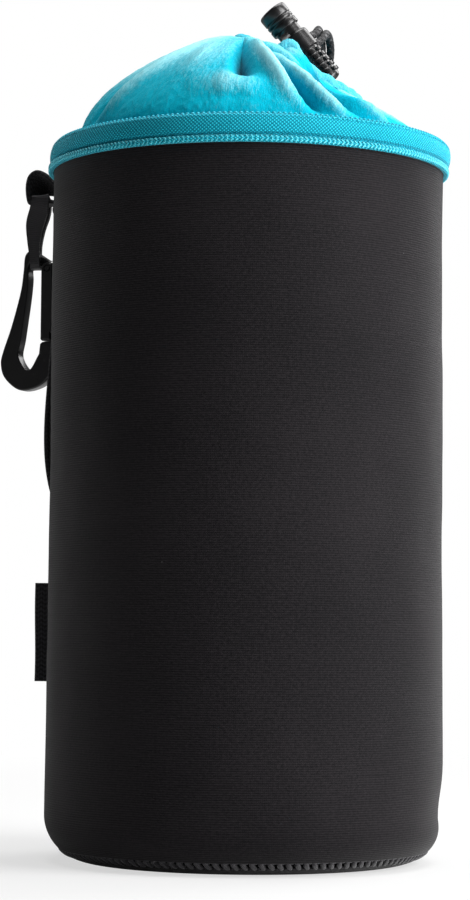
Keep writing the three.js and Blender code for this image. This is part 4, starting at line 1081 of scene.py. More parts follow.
# Folds: rim angle low and high on the cloth, half width low and high, depth share (valleys below 0), and the
# shares of the way up at which it starts, peaks and ends
FOLD_SHARES = [
    [190, 195, 6, 6, 0.5, 0.0, 0.4, 1.0],
    [203, 216, 3.6, 3.2, -1.3, 0.03, 0.4, 0.9],
    [210.5, 223.5, 5, 5, 0.7, 0.03, 0.38, 0.9],
    [250, 242, 9, 7, 0.3, 0.15, 0.5, 0.85],
    [270.5, 262, 3.4, 3.2, -1.9, 0.28, 0.46, 0.8],
    [275, 266.5, 5, 4.2, -0.8, 0.28, 0.46, 0.8],
    [264, 260, 10, 9, 0.5, 0.16, 0.27, 0.38],
    [287, 276.5, 4.0, 2.6, 0.95, 0.02, 0.36, 0.78],
    [292.5, 279.8, 3.6, 2.0, -1.6, 0.02, 0.3, 0.8],
    [300.5, 281.8, 2.9, 1.9, 1.1, 0.02, 0.3, 0.8],
    [310, 287.5, 3.6, 3.2, -1.0, 0.02, 0.3, 0.8],
    [319, 295.5, 3.6, 3.6, 0.75, 0.02, 0.27, 0.7],
    [327, 304, 3.6, 4.0, -0.6, 0.02, 0.27, 0.7],
    [305, 304, 11, 10, -1.7, 0.16, 0.45, 0.78],
    [336, 319, 6, 6, -0.4, 0.02, 0.3, 0.8],
    [317, 319, 11, 10, -1.6, 0.33, 0.66, 1.0],
    [345, 332, 6, 5, -0.5, 0.02, 0.4, 1.0],
    [358, 347, 8, 7, 0.35, 0.02, 0.5, 1.0],
    [15, 5, 9, 9, -0.5, 0.05, 0.55, 1.0],
    [33, 26, 9, 9, 0.5, 0.05, 0.55, 1.0],
    [54, 50, 9, 9, -0.85, 0.05, 0.55, 1.0],
    [74, 72, 9, 9, 0.7, 0.0, 0.5, 1.0],
    [95, 95, 9, 9, -0.85, 0.05, 0.55, 1.0],
    [117, 117, 9, 9, 0.7, 0.0, 0.5, 1.0],
    [138, 138, 9, 9, -0.85, 0.05, 0.55, 1.0],
    [160, 160, 9, 9, 0.5, 0.0, 0.5, 1.0],
    [175, 175, 8, 8, -0.3, 0.05, 0.5, 1.0],
]


def angle_apart(a, b):
    """Signed difference of two angles in degrees, from -180 to 180."""
    return (a - b + 540.0) % 360.0 - 180.0


def hem_angle(rim_angle):
    """The hem is drawn round towards the lock, most for the cloth of the front right."""
    return rim_angle - GATHER_SHIFT * np.exp(-(angle_apart(rim_angle, GATHER_AT) / GATHER_SPREAD) ** 2)


def hem_line(degrees):
    """Middle of the hem: an oval that falls to the right, with its front raised and its back dropped."""
    a = np.radians(degrees)
    back = np.maximum(0, np.sin(a))
    left = np.maximum(0, -np.cos(a))
    front = np.exp(-(angle_apart(degrees, FRONT_LIP_AT) / FRONT_LIP_SPREAD) ** 2)
    half = np.where(np.sin(a) > 0, MOUTH_HALF_BACK, MOUTH_HALF_FRONT)
    return MOUTH_CENTRE + np.stack([
        MOUTH_HALF_LENGTH * np.cos(a),
        half * np.sin(a),
        -MOUTH_FALL / 2 * np.cos(a) - MOUTH_BACK_DROP * back ** 2 + MOUTH_LEFT_LIFT * left ** 2
        + FRONT_LIP_LIFT * front,
    ], -1)


def cloth_middle(rim_angle, share):
    """Middle layer of the cloth: a cubic curve from the rim up to the hem at each angle, then its folds."""
    a = np.radians(rim_angle)
    out = np.stack([np.cos(a), np.sin(a), 0 * a], -1)
    up = np.array([0, 0, 1.0])
    left = np.maximum(0, -np.cos(a))[..., None] ** 2
    right = np.maximum(0, np.cos(a))[..., None] ** 2
    handles = LEFT_HANDLES * left + RIGHT_HANDLES * right + MIDDLE_HANDLES * (1 - left - right)
    foot = out * COLLAR_FOOT + up * CROWN
    top = hem_line(hem_angle(rim_angle))
    first = foot + out * handles[..., 0:1] + up * handles[..., 1:2]
    second = top + out * handles[..., 2:3] + up * handles[..., 3:4]
    return bezier(foot, first, second, top, share[..., None])


def fold_height(rim_angle, share):
    """Sum of the folds: each is a bell across its rim angle, slants round as the cloth rises, and swells
    along its own stretch; towards the hem fine pleats join them."""
    total = 0 * rim_angle
    along = np.clip((share - 0.1) / 0.4, -0.25, 1.6)
    for low, high, low_width, high_width, depth, start, peak, end in FOLD_SHARES:
        grow = np.sin(np.minimum(ramp(share, start, peak), ramp(share, end, peak)) * np.pi / 2) ** 1.3
        width = low_width + (high_width - low_width) * np.clip(along, 0, 1)
        away = np.abs(angle_apart(rim_angle, low + (high - low) * along)) / width
        total = total + depth * np.exp(-away ** 1.8) * grow
    wander = 1.3 * value_noise(rim_angle / 20, share * 3, 31, 18)
    pleats = np.sin(np.radians(hem_angle(rim_angle)) * PLEAT_COUNT + wander)
    creases = value_noise(rim_angle / 5, share * 2.2, 32, 72)
    return FOLD_DEPTH * (total + 0.20 * pleats * share ** 3 + 0.06 * creases)


def surface_normals(points):
    """Normals of a grid that closes in its first direction."""
    across = np.roll(points, -1, 0) - np.roll(points, 1, 0)
    down = np.gradient(points, axis=1)
    return unit(np.cross(across, down))


def hem_roll(degrees):
    """The hem's outer and inner skins: each turns out of the hem's middle, up, and in and down again, and the
    outer one puckers with the pleats."""
    a = np.radians(degrees)
    middle = hem_line(degrees)[:, None]
    away = unit(np.stack([np.cos(a) * MOUTH_HALF_FRONT, np.sin(a) * MOUTH_HALF_LENGTH, 0 * a], -1))
    turn_out = np.radians(np.linspace(-10, 240, HEM_STEPS))[None, :, None]
    direction = away[:, None] * np.cos(turn_out) + np.array([0, 0, 1.0]) * np.sin(turn_out)
    pucker = 1 + HEM_PUCKER_SHARE * np.sin(a * PLEAT_COUNT)[:, None, None]
    return middle + direction * HEM_ROLL * pucker, (middle + direction * HEM_CHANNEL)[:, ::-2]


def make_collar():
    """Gathered collar: the cloth's outer and inner skins, a tail inside the binding, and a hem that rolls
    inwards round the drawcord; every rim angle gives one closed section."""
    degrees = np.arange(720) / 2
    angle, share = np.meshgrid(degrees, np.linspace(0.03, 0.95, 74), indexing="ij")
    middle = cloth_middle(angle, share)
    height = fold_height(angle, share)
    folded = middle + surface_normals(middle) * height[..., None]
    normal = surface_normals(folded)
    outside = folded + normal * COLLAR_THICKNESS / 2
    inside = (folded - normal * COLLAR_THICKNESS / 2)[:, ::-2]
    flat = np.radians(degrees)
    out = np.stack([np.cos(flat), np.sin(flat), 0 * flat], -1)[:, None]
    tail = np.stack([np.zeros(3), np.zeros(3), CROWN + TAIL_DEPTHS], -1)
    tail_out = out * (COLLAR_FOOT + COLLAR_THICKNESS / 2) + tail
    tail_in = out * (COLLAR_FOOT - COLLAR_THICKNESS / 2) + tail[::-1]
    roll_out, roll_in = hem_roll(hem_angle(degrees))
    points = np.concatenate([tail_out, outside, roll_out, roll_in, inside, tail_in], 1)
    first = len(TAIL_DEPTHS)
    hem = first + outside.shape[1]
    last = hem + HEM_STEPS
    points[:, first:last] = pile(points[:, first:last], 41, COLLAR_PILE, 300, 46)
    made = piece("gathered_fleece_collar", [shell(points, closed_u=True)], "fleece",
                 replaced=["fleece_collar"], sharp=75, merge=False)
    # Painted light for the fleece finish: the fold height, paler up the collar and constant on the hem; above
    # 0 it paints a highlight, below 0 painted shade
    crest = np.zeros(points.shape[:2])
    crest[:, first:hem] = height / FOLD_DEPTH + np.clip(2.0 * (share - 0.32), 0, 0.45)
    crest[:, hem:last] = 0.35
    made.data.attributes.new("crest", "FLOAT", "POINT")
    made.data.attributes["crest"].data.foreach_set("value", crest.astype(np.float32).ravel())
    return made


collar = make_collar()

CORD_EXIT = 252.0
CORD_EXIT_HALF_GAP = 10.0


def make_hem_cord():
    """The cord's stretch inside the hem: once round the hem's middle, but for a gap where the tails leave."""
    degrees = np.linspace(CORD_EXIT + CORD_EXIT_HALF_GAP, CORD_EXIT + 360 - CORD_EXIT_HALF_GAP, 220)
    path = evenly(hem_line(degrees), 260)
    skin = sweep(path, np.array([0, 0, 1.0]), cord_section(path, CORD_DIAMETER, 12))
    return piece("drawcord_in_hem", [shell(skin, capped=True)], "cord", replaced=["drawcord_loop"])


make_hem_cord()


# Cord lock: barrel, button and spring
# Its own frame has Z along the axis, towards the button, and X along the cord

LEAN = math.radians(50)
CORD_BACK = math.radians(50)
LOCK_TIP = np.array([5.9, 0, 238.4]) * MM
LOCK_BARREL = 16.8 * MM
LOCK_NECK = 2.5 * MM
LOCK_HEAD = 7.2 * MM
LOCK_RADIUS = 4.4 * MM
HEAD_RADIUS = 4.2 * MM
GROOVE = 0.75 * MM
RIB_PITCH = 1.8 * MM
RIB_COUNT = 6
RIB_PHASE_SHARE = 0.3
RIB_EDGE_SHARES = (0.27, 0.41)
FLUTE_EDGE = 0.08 * MM
SLEEVE_GAP = 0.2 * MM
SLEEVE_EDGE = 0.35 * MM
BARREL_CHAMFER = 0.6 * MM
BARREL_TOE = 0.8 * MM
BARREL_STEP = 0.12 * MM
LOCK_BORE = 3 * MM
LOCK_FLOOR = 1.6 * MM
SKIRT_BORE = 3.8 * MM
SKIRT_SEAT = 2.4 * MM
FLUTES = 10
FLUTE_WIDTH = 0.9 * MM
SLOT_WIDTH = 3.1 * MM
SLOT_LENGTH = 6 * MM
SLOT_MIDDLE = LOCK_BARREL - 3.6 * MM
lock_axis = np.array([-math.cos(LEAN), 0, math.sin(LEAN)])
lock_way = np.array([
    math.sin(LEAN) * math.cos(CORD_BACK), math.sin(CORD_BACK), math.cos(LEAN) * math.cos(CORD_BACK),
])
lock_side = np.cross(lock_axis, lock_way)
lock_foot = LOCK_TIP - lock_axis * (LOCK_BARREL + LOCK_NECK + LOCK_HEAD)


def in_lock(points):
    """Points of the lock's own frame, placed in the pouch's."""
    return points @ np.stack([lock_way, lock_side, lock_axis]) + lock_foot


def cut_boxes(made, boxes):
    """Takes boxes of eight corners out of a piece, exactly."""
    for corners in boxes:
        mesh = bpy.data.meshes.new("cutter")
        faces = [(0, 1, 3, 2), (4, 6, 7, 5), (0, 4, 5, 1), (2, 3, 7, 6), (0, 2, 6, 4), (1, 5, 7, 3)]
        mesh.from_pydata(corners.tolist(), [], faces)
        cutter = bpy.data.objects.new("cutter", mesh)
        bpy.context.scene.collection.objects.link(cutter)
        step = made.modifiers.new("slot", "BOOLEAN")
        step.operation = "DIFFERENCE"
        step.solver = "EXACT"
        step.object = cutter
        bpy.context.view_layer.update()
        ready = made.evaluated_get(bpy.context.evaluated_depsgraph_get())
        made.data = bpy.data.meshes.new_from_object(ready)
        made.modifiers.clear()
        bpy.data.objects.remove(cutter)
    made.data.set_sharp_from_angle(angle=math.radians(35))
    return made


def box_corners(size, centre):
    """Eight corners of a box, placed by the lock's frame; the order makes its faces point outwards."""
    signs = np.array([[x, y, z] for x in (-1, 1) for y in (-1, 1) for z in (-1, 1)]) / 2
    return in_lock(signs * np.array(size) + np.array(centre))


def make_barrel():
    """Ribbed barrel: its radius steps out at each grip rib and in again at each flute, along and round it;
    the profile then turns over the mouth and down the bore."""
    steps = 200
    z = np.arange(0, LOCK_BARREL + BARREL_STEP / 2, BARREL_STEP)
    ribs_end = LOCK_FLOOR + (RIB_COUNT - 1) * RIB_PITCH
    phase = (z - LOCK_FLOOR) / RIB_PITCH - RIB_PHASE_SHARE
    rib = ramp(0.5 + 0.5 * np.cos(phase * TURN), *RIB_EDGE_SHARES) * ((z > LOCK_FLOOR) & (z < ribs_end))
    sleeve = ramp(z, ribs_end + SLEEVE_GAP, ribs_end + SLEEVE_GAP + SLEEVE_EDGE)
    chamfer = ramp(z, LOCK_BARREL, LOCK_BARREL - BARREL_CHAMFER) ** 0.5
    angle = np.arange(steps) * TURN / steps
    nearest = np.abs((angle * FLUTES / TURN + 0.5) % 1.0 - 0.5) * TURN / FLUTES * LOCK_RADIUS
    flute = ramp(nearest, FLUTE_WIDTH / 2 - FLUTE_EDGE, FLUTE_WIDTH / 2 + FLUTE_EDGE)
    radius = rib[None] * flute[:, None] + sleeve[None] * (0.35 + 0.65 * chamfer[None])
    radius = radius - (1 - np.sqrt(ramp(z, 0, BARREL_TOE)))[None]
    radius = LOCK_RADIUS - GROOVE + GROOVE * radius
    ring = np.stack([np.cos(angle), np.sin(angle)], -1)
    outside = np.concatenate([
        ring[:, None] * radius[..., None], np.broadcast_to(z, radius.shape)[..., None],
    ], -1)
    seat = LOCK_BARREL - SKIRT_SEAT
    bore_radii = np.array([SKIRT_BORE, SKIRT_BORE, LOCK_BORE, LOCK_BORE, 0])
    bore_heights = np.array([LOCK_BARREL, seat, seat, LOCK_FLOOR, LOCK_FLOOR])
    bore = revolve(bore_radii, bore_heights, steps)
    foot = revolve(np.array([0.0]), np.array([0.0]), steps)
    points = in_lock(np.concatenate([foot, outside, bore], 1))
    made = piece("lock_body", [shell(points, closed_u=True, closed_v=False)], "lock_plastic", "cord_lock",
                 ["lock_barrel"])
    slot = box_corners([2 * LOCK_RADIUS + 2 * MM, SLOT_WIDTH, SLOT_LENGTH], [0, 0, SLOT_MIDDLE])
    return cut_boxes(made, [slot])


# Outline of the button's head, in shares of its radius and length: two grip rings, a round edge, a flat dome
HEAD_SHARES = np.concatenate([
    [[0.90, 0], [0.98, 0.02], [1, 0.05], [1, 0.25], [0.98, 0.275], [0.91, 0.29], [0.91, 0.34], [0.98, 0.355]],
    [[1, 0.38], [1, 0.45], [0.98, 0.475], [0.91, 0.49], [0.91, 0.53], [0.98, 0.545], [1, 0.57], [1, 0.84]],
    arc(0.88, 0.84, 0.12, 0, math.pi / 2, 9)[1:],
    [[0.8, 0.975], [0.55, 0.992], [0.3, 1], [0, 1]],
])
STEM_BEYOND = 1.8 * MM
STEM_CHAMFER = 0.2 * MM
SKIRT_GAP = 0.1 * MM


def make_button():
    """Button: a round stem in the bore, a skirt that enters its mouth, and a head with grip rings and a domed
    end."""
    head = LOCK_BARREL + LOCK_NECK
    stem = LOCK_BORE - SEAT
    low = SLOT_MIDDLE - SLOT_LENGTH / 2
    skirt = SKIRT_BORE - SEAT
    skirt_low = LOCK_BARREL + SKIRT_GAP
    profile = np.concatenate([
        [[0, low - STEM_BEYOND], [stem - STEM_CHAMFER, low - STEM_BEYOND]],
        [[stem, low - STEM_BEYOND + STEM_CHAMFER], [stem, skirt_low], [skirt, skirt_low], [skirt, head]],
        HEAD_SHARES * [HEAD_RADIUS, LOCK_HEAD] + [0, head],
    ])
    points = in_lock(revolve(profile[:, 0], profile[:, 1], 96))
    made = piece("lock_button_head", [shell(points, closed_u=True, closed_v=False)], "lock_plastic",
                 "lock_button", ["lock_plunger"])
    length = SLOT_LENGTH + LOCK_NECK
    slot = box_corners([4 * LOCK_RADIUS, SLOT_WIDTH, length], [0, 0, low + length / 2])
    return cut_boxes(made, [slot])


make_barrel()
make_button()


# Webbing: belt strap, its bar tacks, and the hanger loop

STRAP_AZIMUTH = math.radians(153)
STRAP_WIDTH = 25 * MM
STRAP_THICKNESS = 1.5 * MM
STRAP_BULGE = 3.2 * MM
STRAP_END = 0.5 * MM
TACK_HEIGHT = 11 * MM
TACK_IN = 1 * MM
TACK_SIDE_GAP = 3 * MM
TACK_STITCH_SIZE = (2.3 * MM, 0.6 * MM, 0.5 * MM)
TACK_STITCH_PITCH = 0.62 * MM
TACK_STITCH_SUNK = 0.05 * MM
TACK_SLANT = 0.35
strap_bottom, strap_top = (corner.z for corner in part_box("belt_strap"))
slack_low = strap_bottom + TACK_HEIGHT
slack_high = strap_top - TACK_HEIGHT


def strap_lift(z):
    """Slack of the strap off the wall, most of it low down."""
    return STRAP_BULGE * np.sin(np.pi * np.sqrt(ramp(z, slack_low, slack_high))) ** 2


def make_strap():
    """Belt strap: a flat woven section bent round the wall and carried from its lower end to its upper,
    thinner where it is cut off."""
    z = np.linspace(strap_bottom, strap_top, 160)[:, None]
    section = tape_section(STRAP_WIDTH, STRAP_THICKNESS)
    ends = np.clip(np.minimum(z - strap_bottom, strap_top - z) / STRAP_END, 0.3, 1)
    radius = wall_radius(z) + SEAT + STRAP_THICKNESS / 2 + strap_lift(z) - section[None, :, 1] * ends
    turn_by = STRAP_AZIMUTH + section[None, :, 0] / BODY_RADIUS
    points = np.stack([radius * np.cos(turn_by), radius * np.sin(turn_by), z + 0 * radius], -1)
    return piece("woven_belt_strap", [shell(points, capped=True)], "webbing", replaced=["belt_strap"])


def bartack(name, node, z, width, azimuth, face):
    """Bar tack: a dense zigzag of thread across the webbing."""
    count = int(width / TACK_STITCH_PITCH)
    turn_by = azimuth + np.linspace(-width / 2, width / 2, count) / BODY_RADIUS
    out = np.stack([np.cos(turn_by), np.sin(turn_by), 0 * turn_by], -1)
    around = np.stack([-np.sin(turn_by), np.cos(turn_by), 0 * turn_by], -1)
    centres = out * (face - TACK_STITCH_SUNK) + np.array([0, 0, z])
    slant = np.where(np.arange(count) % 2 == 0, TACK_SLANT, -TACK_SLANT)[:, None]
    threads = beads(centres, unit(around * slant + np.array([0, 0, 1.0])), out, TACK_STITCH_SIZE)
    return piece(name, [shell(threads)], "dark_thread", replaced=[node])


make_strap()
for name, node, z in (
    ("bartack_upper", "strap_bartack_top", slack_high + TACK_IN),
    ("bartack_lower", "strap_bartack_bottom", slack_low - TACK_IN),
):
    face = float(wall_radius(z)) + SEAT + STRAP_THICKNESS
    bartack(name, node, z, STRAP_WIDTH - TACK_SIDE_GAP, STRAP_AZIMUTH, face)

HANGER_AZIMUTH = math.radians(158)
HANGER_WIDTH = 9 * MM
HANGER_THICKNESS = 1.2 * MM
HANGER_REACH = 11.3 * MM
HANGER_HEIGHT = 10.6 * MM
HANGER_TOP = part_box("hanger_loop")[1].z
HANGER_TAB = 8 * MM
HANGER_TACK_UP = 2 * MM
HANGER_TACK_SIDE_GAP = 2 * MM

# Outline of the loop from the side: shares of its reach outwards and of its height down from the top
HANGER_SHARES = np.array([
    [0, 0.58], [0.16, 0.34], [0.42, 0.1], [0.7, 0], [0.93, 0.16], [1, 0.5], [0.93, 0.92], [0.72, 0.96],
    [0.4, 0.93], [0.12, 0.96],
])
hanger_seat = float(wall_radius(HANGER_TOP)) + 2 * SEAT + STRAP_THICKNESS

# The back edge of the loop is drawn in and down towards a point over its lower leg, by these shares
HOOD_FOOT = np.array([hanger_seat + 7.6 * MM, HANGER_TOP - HANGER_HEIGHT * 0.86])
HOOD_NARROWS = 0.16
HOOD_FALLS = 0.66


def make_hanger():
    """Hanger loop: a flat tape carried once round the loop's outline, drawn down and in towards its back edge
    like a hood, and the doubled tab sewn to the strap."""
    outline = np.stack([
        hanger_seat + HANGER_REACH * HANGER_SHARES[:, 0], HANGER_TOP - HANGER_HEIGHT * HANGER_SHARES[:, 1],
    ], -1)
    curve = evenly(catmull(outline, 16, closed=True), 150, closed=True)
    along = tangents(np.concatenate([curve, np.zeros((len(curve), 1))], 1), True)
    inward = np.stack([along[:, 1], -along[:, 0]], -1)
    middle = curve + inward * HANGER_THICKNESS / 2
    section = tape_section(HANGER_WIDTH, HANGER_THICKNESS)
    backwards = np.clip(0.5 - section[:, 0] / HANGER_WIDTH, 0, 1) ** 1.4
    drawn_in = 1 - np.outer(backwards, [HOOD_NARROWS, HOOD_FALLS])
    pulled = HOOD_FOOT + (middle[:, None] - HOOD_FOOT) * drawn_in[None]
    skin = pulled + inward[:, None] * section[None, :, 1:]
    depth = np.broadcast_to(section[None, :, 0], skin.shape[:2])
    loop = np.stack([skin[..., 0], depth, skin[..., 1]], -1)
    tab_top = HANGER_TOP - HANGER_HEIGHT * HANGER_SHARES[0, 1]
    z = np.linspace(tab_top, tab_top - HANGER_TAB, 30)
    tab_path = np.stack([np.full(30, hanger_seat + HANGER_THICKNESS), np.zeros(30), z], -1)
    tab = sweep(tab_path, np.array([0, 1.0, 0]), tape_section(HANGER_WIDTH, 1.9 * HANGER_THICKNESS))
    shells = [
        shell(turned(loop, HANGER_AZIMUTH), closed_u=True),
        shell(turned(tab, HANGER_AZIMUTH), capped=True),
    ]
    piece("webbing_hanger", shells, "webbing", replaced=["hanger_loop"])
    bartack(
        "bartack_hanger", "hanger_bartack", tab_top - HANGER_TAB + HANGER_TACK_UP,
        HANGER_WIDTH - HANGER_TACK_SIDE_GAP, HANGER_AZIMUTH, hanger_seat + 1.95 * HANGER_THICKNESS,
    )


make_hanger()


# Snap hook and its ribbon

HOOK_LENGTH = 41 * MM
HOOK_WIDTH = 17.4 * MM
HOOK_DEPTH = 4 * MM
HOOK_BOTTOM = 132.2 * MM
HOOK_INNER = 58.9 * MM
HOOK_BEVEL = 0.42 * MM
GATE_WIDTH = 4 * MM
GATE_TONGUE = 1.7 * MM
TONGUE_BEVEL = 0.15 * MM

# Outlines in shares of the hook's width and length, from its inner side and its lower end
HOOK_OUTER_SHARES = np.array([
    [0.468, 1.0], [0.572, 0.952], [0.6, 0.84], [0.65, 0.695], [0.806, 0.46], [0.961, 0.277], [1, 0.188],
    [0.928, 0.093], [0.706, 0.012], [0.489, 0], [0.217, 0.041], [0.044, 0.132], [0, 0.239],
])
HOOK_INNER_SHARES = np.array([
    [0.294, 0.255], [0.483, 0.142], [0.672, 0.24], [0.628, 0.375], [0.54, 0.63], [0.505, 0.78],
    [0.512, 0.86], [0.455, 0.912], [0.36, 0.9],
])
PIVOT_SHARES = np.array([0.161, 0.859])
TONGUE_ROOT_SHARES = np.array([[0.42, 0.955], [0.4, 0.91]])
BAR_SHARES = np.array([0.455, 0.912])
NOSE_SHARE = 0.34

# Nose, from the hook's inner side and up from its own height: a lip that the gate shuts against
NOSE_LIP = np.array([[0, 1.7], [0.3, 2.1], [0.85, 2.1], [1.1, 1.7], [1.2, 0.1]]) * MM
NOSE_STEP = 0.8 * MM
NOSE_DROP = 0.6 * MM


def hook_place(shares):
    """Distance from the axis and height of a place given as shares of the hook's width and length."""
    return np.array([HOOK_INNER, HOOK_BOTTOM]) + np.asarray(shares) * np.array([HOOK_WIDTH, HOOK_LENGTH])


def flat_arc(centre, radius, start, end, steps):
    """Points of an arc in the hook's plane, from one angle in degrees to another."""
    angle = np.radians(np.linspace(start, end, steps))
    return centre + radius * np.stack([np.cos(angle), np.sin(angle)], -1)


def plate(outline, thickness, bevel, steps=4):
    """Flat outline with rounded edges: rings step in from the edge as they near either face."""
    along = outline - np.roll(outline, 1, 0)
    ahead = np.roll(outline, -1, 0) - outline
    edge = unit(unit(along) + unit(ahead))
    area = (outline[:, 0] * np.roll(outline[:, 1], -1) - np.roll(outline[:, 0], -1) * outline[:, 1]).sum()
    inward = np.stack([-edge[:, 1], edge[:, 0]], -1) * (1 if area > 0 else -1)
    angle = np.linspace(0, math.pi / 2, steps + 1)
    inset = np.concatenate([bevel * (1 - np.sin(angle)), bevel * (1 - np.cos(angle))])
    depth = np.concatenate([
        -thickness / 2 + bevel * (1 - np.cos(angle)), thickness / 2 - bevel * (1 - np.sin(angle)),
    ])
    flat = outline[None] + inward[None] * inset[:, None, None]
    return np.stack([flat[..., 0], np.broadcast_to(depth[:, None], flat.shape[:2]), flat[..., 1]], -1)


def make_hook():
    """Cast hook body: the outer curve down the spine and round the belly, the nose, and the inner curve back;
    a thin tongue goes on round the gate's pin."""
    pivot = hook_place(PIVOT_SHARES)
    nose = HOOK_BOTTOM + HOOK_LENGTH * NOSE_SHARE
    gate_inside = pivot[0] + GATE_WIDTH / 2
    outline = np.concatenate([
        catmull(hook_place(HOOK_OUTER_SHARES), 10),
        NOSE_LIP + [HOOK_INNER, nose],
        [[gate_inside - NOSE_STEP, nose], [gate_inside, nose - NOSE_DROP]],
        catmull(hook_place(HOOK_INNER_SHARES), 10),
        flat_arc(pivot, GATE_WIDTH / 2 + SEAT, 20, 92, 12),
    ])
    body = plate(outline, HOOK_DEPTH, HOOK_BEVEL)
    eye = flat_arc(pivot, GATE_WIDTH / 2, 60, -200, 24)
    tongue_outline = np.concatenate([eye, hook_place(TONGUE_ROOT_SHARES)])
    tongue = plate(tongue_outline[::-1], GATE_TONGUE, TONGUE_BEVEL)
    shells = [
        shell(turned(body, HANGER_AZIMUTH), capped=True),
        shell(turned(tongue, HANGER_AZIMUTH), capped=True),
    ]
    return piece("snap_hook_body", shells, "hook_metal", "hook", ["hook_body"])


make_hook()

RIBBON_WIDTH = 4.8 * MM
RIBBON_THICKNESS = 0.9 * MM
RIBBON_HIGH_RADIUS = hanger_seat + 7.9 * MM
RIBBON_LOW_RADIUS = 66.4 * MM
RIBBON_BELOW_BAR = 1.3 * MM
RIBBON_SKEW = 0.4
HANGER_LEG_SHARE = 0.95

# How far over and under the ribbon's high run the end points of a bend from the body to the ribbon lie; the
# bend itself is not made
BEND_ABOVE = 1 * MM
BEND_BELOW = 14 * MM

# Half of the loop, from the middle of its low run to the middle of its high run: height, half width where
# 1 is the low one and 2 the high one, place between the two radii, tape width
RIBBON_SHARES = np.array([
    [0, 0, 0.9, 0.62], [0, 0.6, 0.9, 0.62], [0.04, 1, 0.9, 0.62], [0.16, 1.1, 0.95, 0.66],
    [0.36, 1.25, 1.1, 0.82], [0.6, 1.45, 0.95, 1.12], [0.78, 1.76, 0.35, 1.16], [0.88, 1.98, 0.1, 1.12],
    [0.97, 2, 0, 1.06], [1, 1.76, 0, 1.02], [1, 0.8, 0, 1], [1, 0, 0, 1],
])


def make_ribbon():
    """Ribbon: a flat tape over the hanger's lower leg and under the hook's bar, closed on itself; its back
    run hangs further out than its front one. Two end points of a bend on its upper run are worked out, but
    nothing uses them."""
    leg = HANGER_TOP - HANGER_HEIGHT * HANGER_LEG_SHARE
    high = leg + HANGER_THICKNESS + SEAT + RIBBON_THICKNESS / 2
    low = hook_place(BAR_SHARES)[1] - RIBBON_BELOW_BAR - RIBBON_THICKNESS / 2
    high_half = HANGER_WIDTH / 2 + SEAT + RIBBON_THICKNESS / 2
    low_half = HOOK_DEPTH / 2 + SEAT + RIBBON_THICKNESS / 2
    rows = np.concatenate([RIBBON_SHARES, RIBBON_SHARES[1:-1][::-1] * np.array([1, -1, 1, 1])])
    spread = np.abs(rows[:, 1])
    half = np.where(spread <= 1, low_half * spread, low_half + (high_half - low_half) * (spread - 1))
    across = np.sign(rows[:, 1]) * half
    places = np.stack([
        RIBBON_HIGH_RADIUS + (RIBBON_LOW_RADIUS - RIBBON_HIGH_RADIUS) * rows[:, 2] - RIBBON_SKEW * across,
        across,
        low + (high - low) * rows[:, 0],
        rows[:, 3] * RIBBON_WIDTH,
    ], -1)
    curve = catmull(places, 10, closed=True)
    base = tape_section(1.0, RIBBON_THICKNESS)
    section = np.stack([
        base[None, :, 0] * curve[:, 3:4], np.broadcast_to(base[:, 1], (len(curve), len(base))),
    ], -1)
    tape = sweep(curve[:, :3], np.array([1.0, 0, 0]), section, closed=True)
    made = piece("hook_tape_loop", [shell(turned(tape, HANGER_AZIMUTH), closed_u=True)], "ribbon", "",
                 ["hook_ribbon"])
    ends = [[RIBBON_HIGH_RADIUS, 0, high + BEND_ABOVE], [RIBBON_HIGH_RADIUS, 0, high - BEND_BELOW]]
    start, end = turned(np.array(ends), HANGER_AZIMUTH)
    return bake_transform(made)


make_ribbon()


# Side tag

TAG_REACH = 3.9 * MM
TAG_ROOT = 1.4 * MM
TAG_THICKNESS = 1.2 * MM
TAG_EDGE = 0.4 * MM
TAG_WAVE = 0.12 * MM
TAG_WAVE_REACH = 5 * MM
tag_bottom, tag_top = (corner.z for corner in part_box("side_tag"))


def make_tag():
    """Side tag: a tape folded on itself, its fold standing out of the side seam in a slight wave, thinner at
    its upper and lower edges."""
    wall = float(wall_radius((tag_bottom + tag_top) / 2))
    half = TAG_THICKNESS / 2
    outline = np.concatenate([
        [[wall - TAG_ROOT, -half], [wall + TAG_REACH / 2, -half * 0.85]],
        arc(wall + TAG_REACH - half, 0, half, -math.pi / 2, math.pi / 2, 9),
        [[wall + TAG_REACH / 2, half * 0.85], [wall - TAG_ROOT, half]],
    ])
    edge = TAG_EDGE * np.array([0, 0.375, 1])
    run = np.linspace(tag_bottom + 1 * MM, tag_top - 1 * MM, 40)
    z = np.concatenate([tag_bottom + edge, run, tag_top - edge[::-1]])[:, None]
    ends = ramp(np.minimum(z - tag_bottom, tag_top - z), 0, TAG_EDGE) ** 0.5
    out = outline[None, :, 0] + TAG_WAVE * np.sin(z / TAG_WAVE_REACH) * (outline[None, :, 0] > wall)
    across = outline[None, :, 1] * (0.4 + 0.6 * ends)
    points = turned(np.stack([out, across, z + 0 * out], -1), SIDE_SEAM)
    return piece("folded_side_tag", [shell(points, capped=True)], "webbing", replaced=["side_tag"])


make_tag()


# Nodes whose shape is right as it is

for node, slot in (
    ("lock_spring", "steel"),
    ("gate_spring", "steel"),
    ("gate_pin", "hook_metal"),
    ("hook_gate", "hook_metal"),
):
    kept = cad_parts[node]
    kept.data.materials.clear()
    kept.data.materials.append(FINISHES[slot])


# Floor and light

FLOOR_GLOW = 0.62
FLOOR_GLOW_FROM = 0.12
FLOOR_GLOW_FULL = 0.6
FLOOR_REACH = 4.0
FLOOR_BELOW = 0.02 * MM
AMBIENT = 0.06


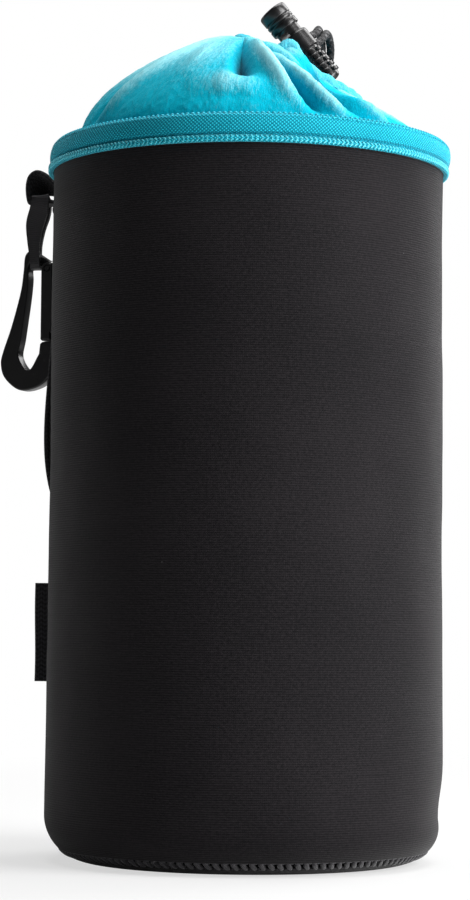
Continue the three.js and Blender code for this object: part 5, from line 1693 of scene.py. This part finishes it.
def floor_finish():
    """White floor: it keeps the object's shadow, and looks white to the camera."""
    f = Finish("white_floor")
    seen = f.node("ShaderNodeLightPath", output="Is Camera Ray")
    distance = f.node("ShaderNodeVectorMath", {"operation": "LENGTH"}, {0: f.solid_place()}, output=1)
    white = distance.between(FLOOR_GLOW_FROM, FLOOR_GLOW_FULL) * (1 - FLOOR_GLOW) + FLOOR_GLOW
    cloth = f.node("ShaderNodeBsdfDiffuse", sockets={"Color": rgb(0.6, 0.6, 0.6)})
    glow = f.node("ShaderNodeEmission", sockets={"Color": rgb(1, 1, 1), "Strength": 1.0})
    mixed = f.node("ShaderNodeMixShader", sockets={0: seen * white, 1: cloth, 2: glow})
    f.node("ShaderNodeOutputMaterial", sockets={"Surface": mixed})
    return f.owner


def make_floor():
    """Wide flat square just under the pouch."""
    corners = [(x * FLOOR_REACH, y * FLOOR_REACH, 0) for x, y in ((-1, -1), (1, -1), (1, 1), (-1, 1))]
    mesh = bpy.data.meshes.new("floor")
    mesh.from_pydata(corners, [], [(0, 1, 2, 3)])
    mesh.materials.append(floor_finish())
    floor = bpy.data.objects.new("floor", mesh)
    bpy.context.scene.collection.objects.link(floor)
    floor.location.z = -FLOOR_BELOW


def make_world():
    """Even dim surround for the light, white where the camera looks at it."""
    f = Finish("studio", bpy.data.worlds.new("studio"))
    bpy.context.scene.world = f.owner
    seen = f.node("ShaderNodeLightPath", output="Is Camera Ray")
    dim, white = (
        f.node("ShaderNodeBackground", sockets={"Color": rgb(1, 1, 1), "Strength": strength})
        for strength in (AMBIENT, 1.0)
    )
    either = f.node("ShaderNodeMixShader", sockets={0: seen, 1: dim, 2: white})
    f.node("ShaderNodeOutputWorld", sockets={"Surface": either})


make_floor()
make_world()


def softbox(name, place, aim, size, power):
    """Rectangular area lamp at a place, facing a point; metres and watts."""
    lamp = bpy.data.lights.new(name, "AREA")
    lamp.shape = "RECTANGLE"
    lamp.size, lamp.size_y = size
    lamp.energy = power
    made = bpy.data.objects.new(name, lamp)
    bpy.context.scene.collection.objects.link(made)
    way = np.array(aim) - np.array(place)
    side = unit(np.cross(way, [0, 0, 1.0]))
    up = unit(np.cross(side, way))
    columns = np.stack([side, up, -unit(way), place], -1)
    made.matrix_world = Matrix(columns.tolist() + [[0, 0, 0, 1]])


softbox("right_softbox", (0.85, -0.42, 0.35), (0, 0, 0.12), (0.6, 1.1), 25.0)
softbox("top_softbox", (0.12, 0.05, 1.15), (0, 0, 0.2), (0.8, 0.8), 12.5)
softbox("back_softbox", (0.62, 0.62, 0.75), (0, 0, 0.15), (0.5, 0.7), 6.0)
softbox("left_softbox", (-0.9, 0.45, 0.35), (0, 0, 0.12), (0.4, 1.0), 1.2)
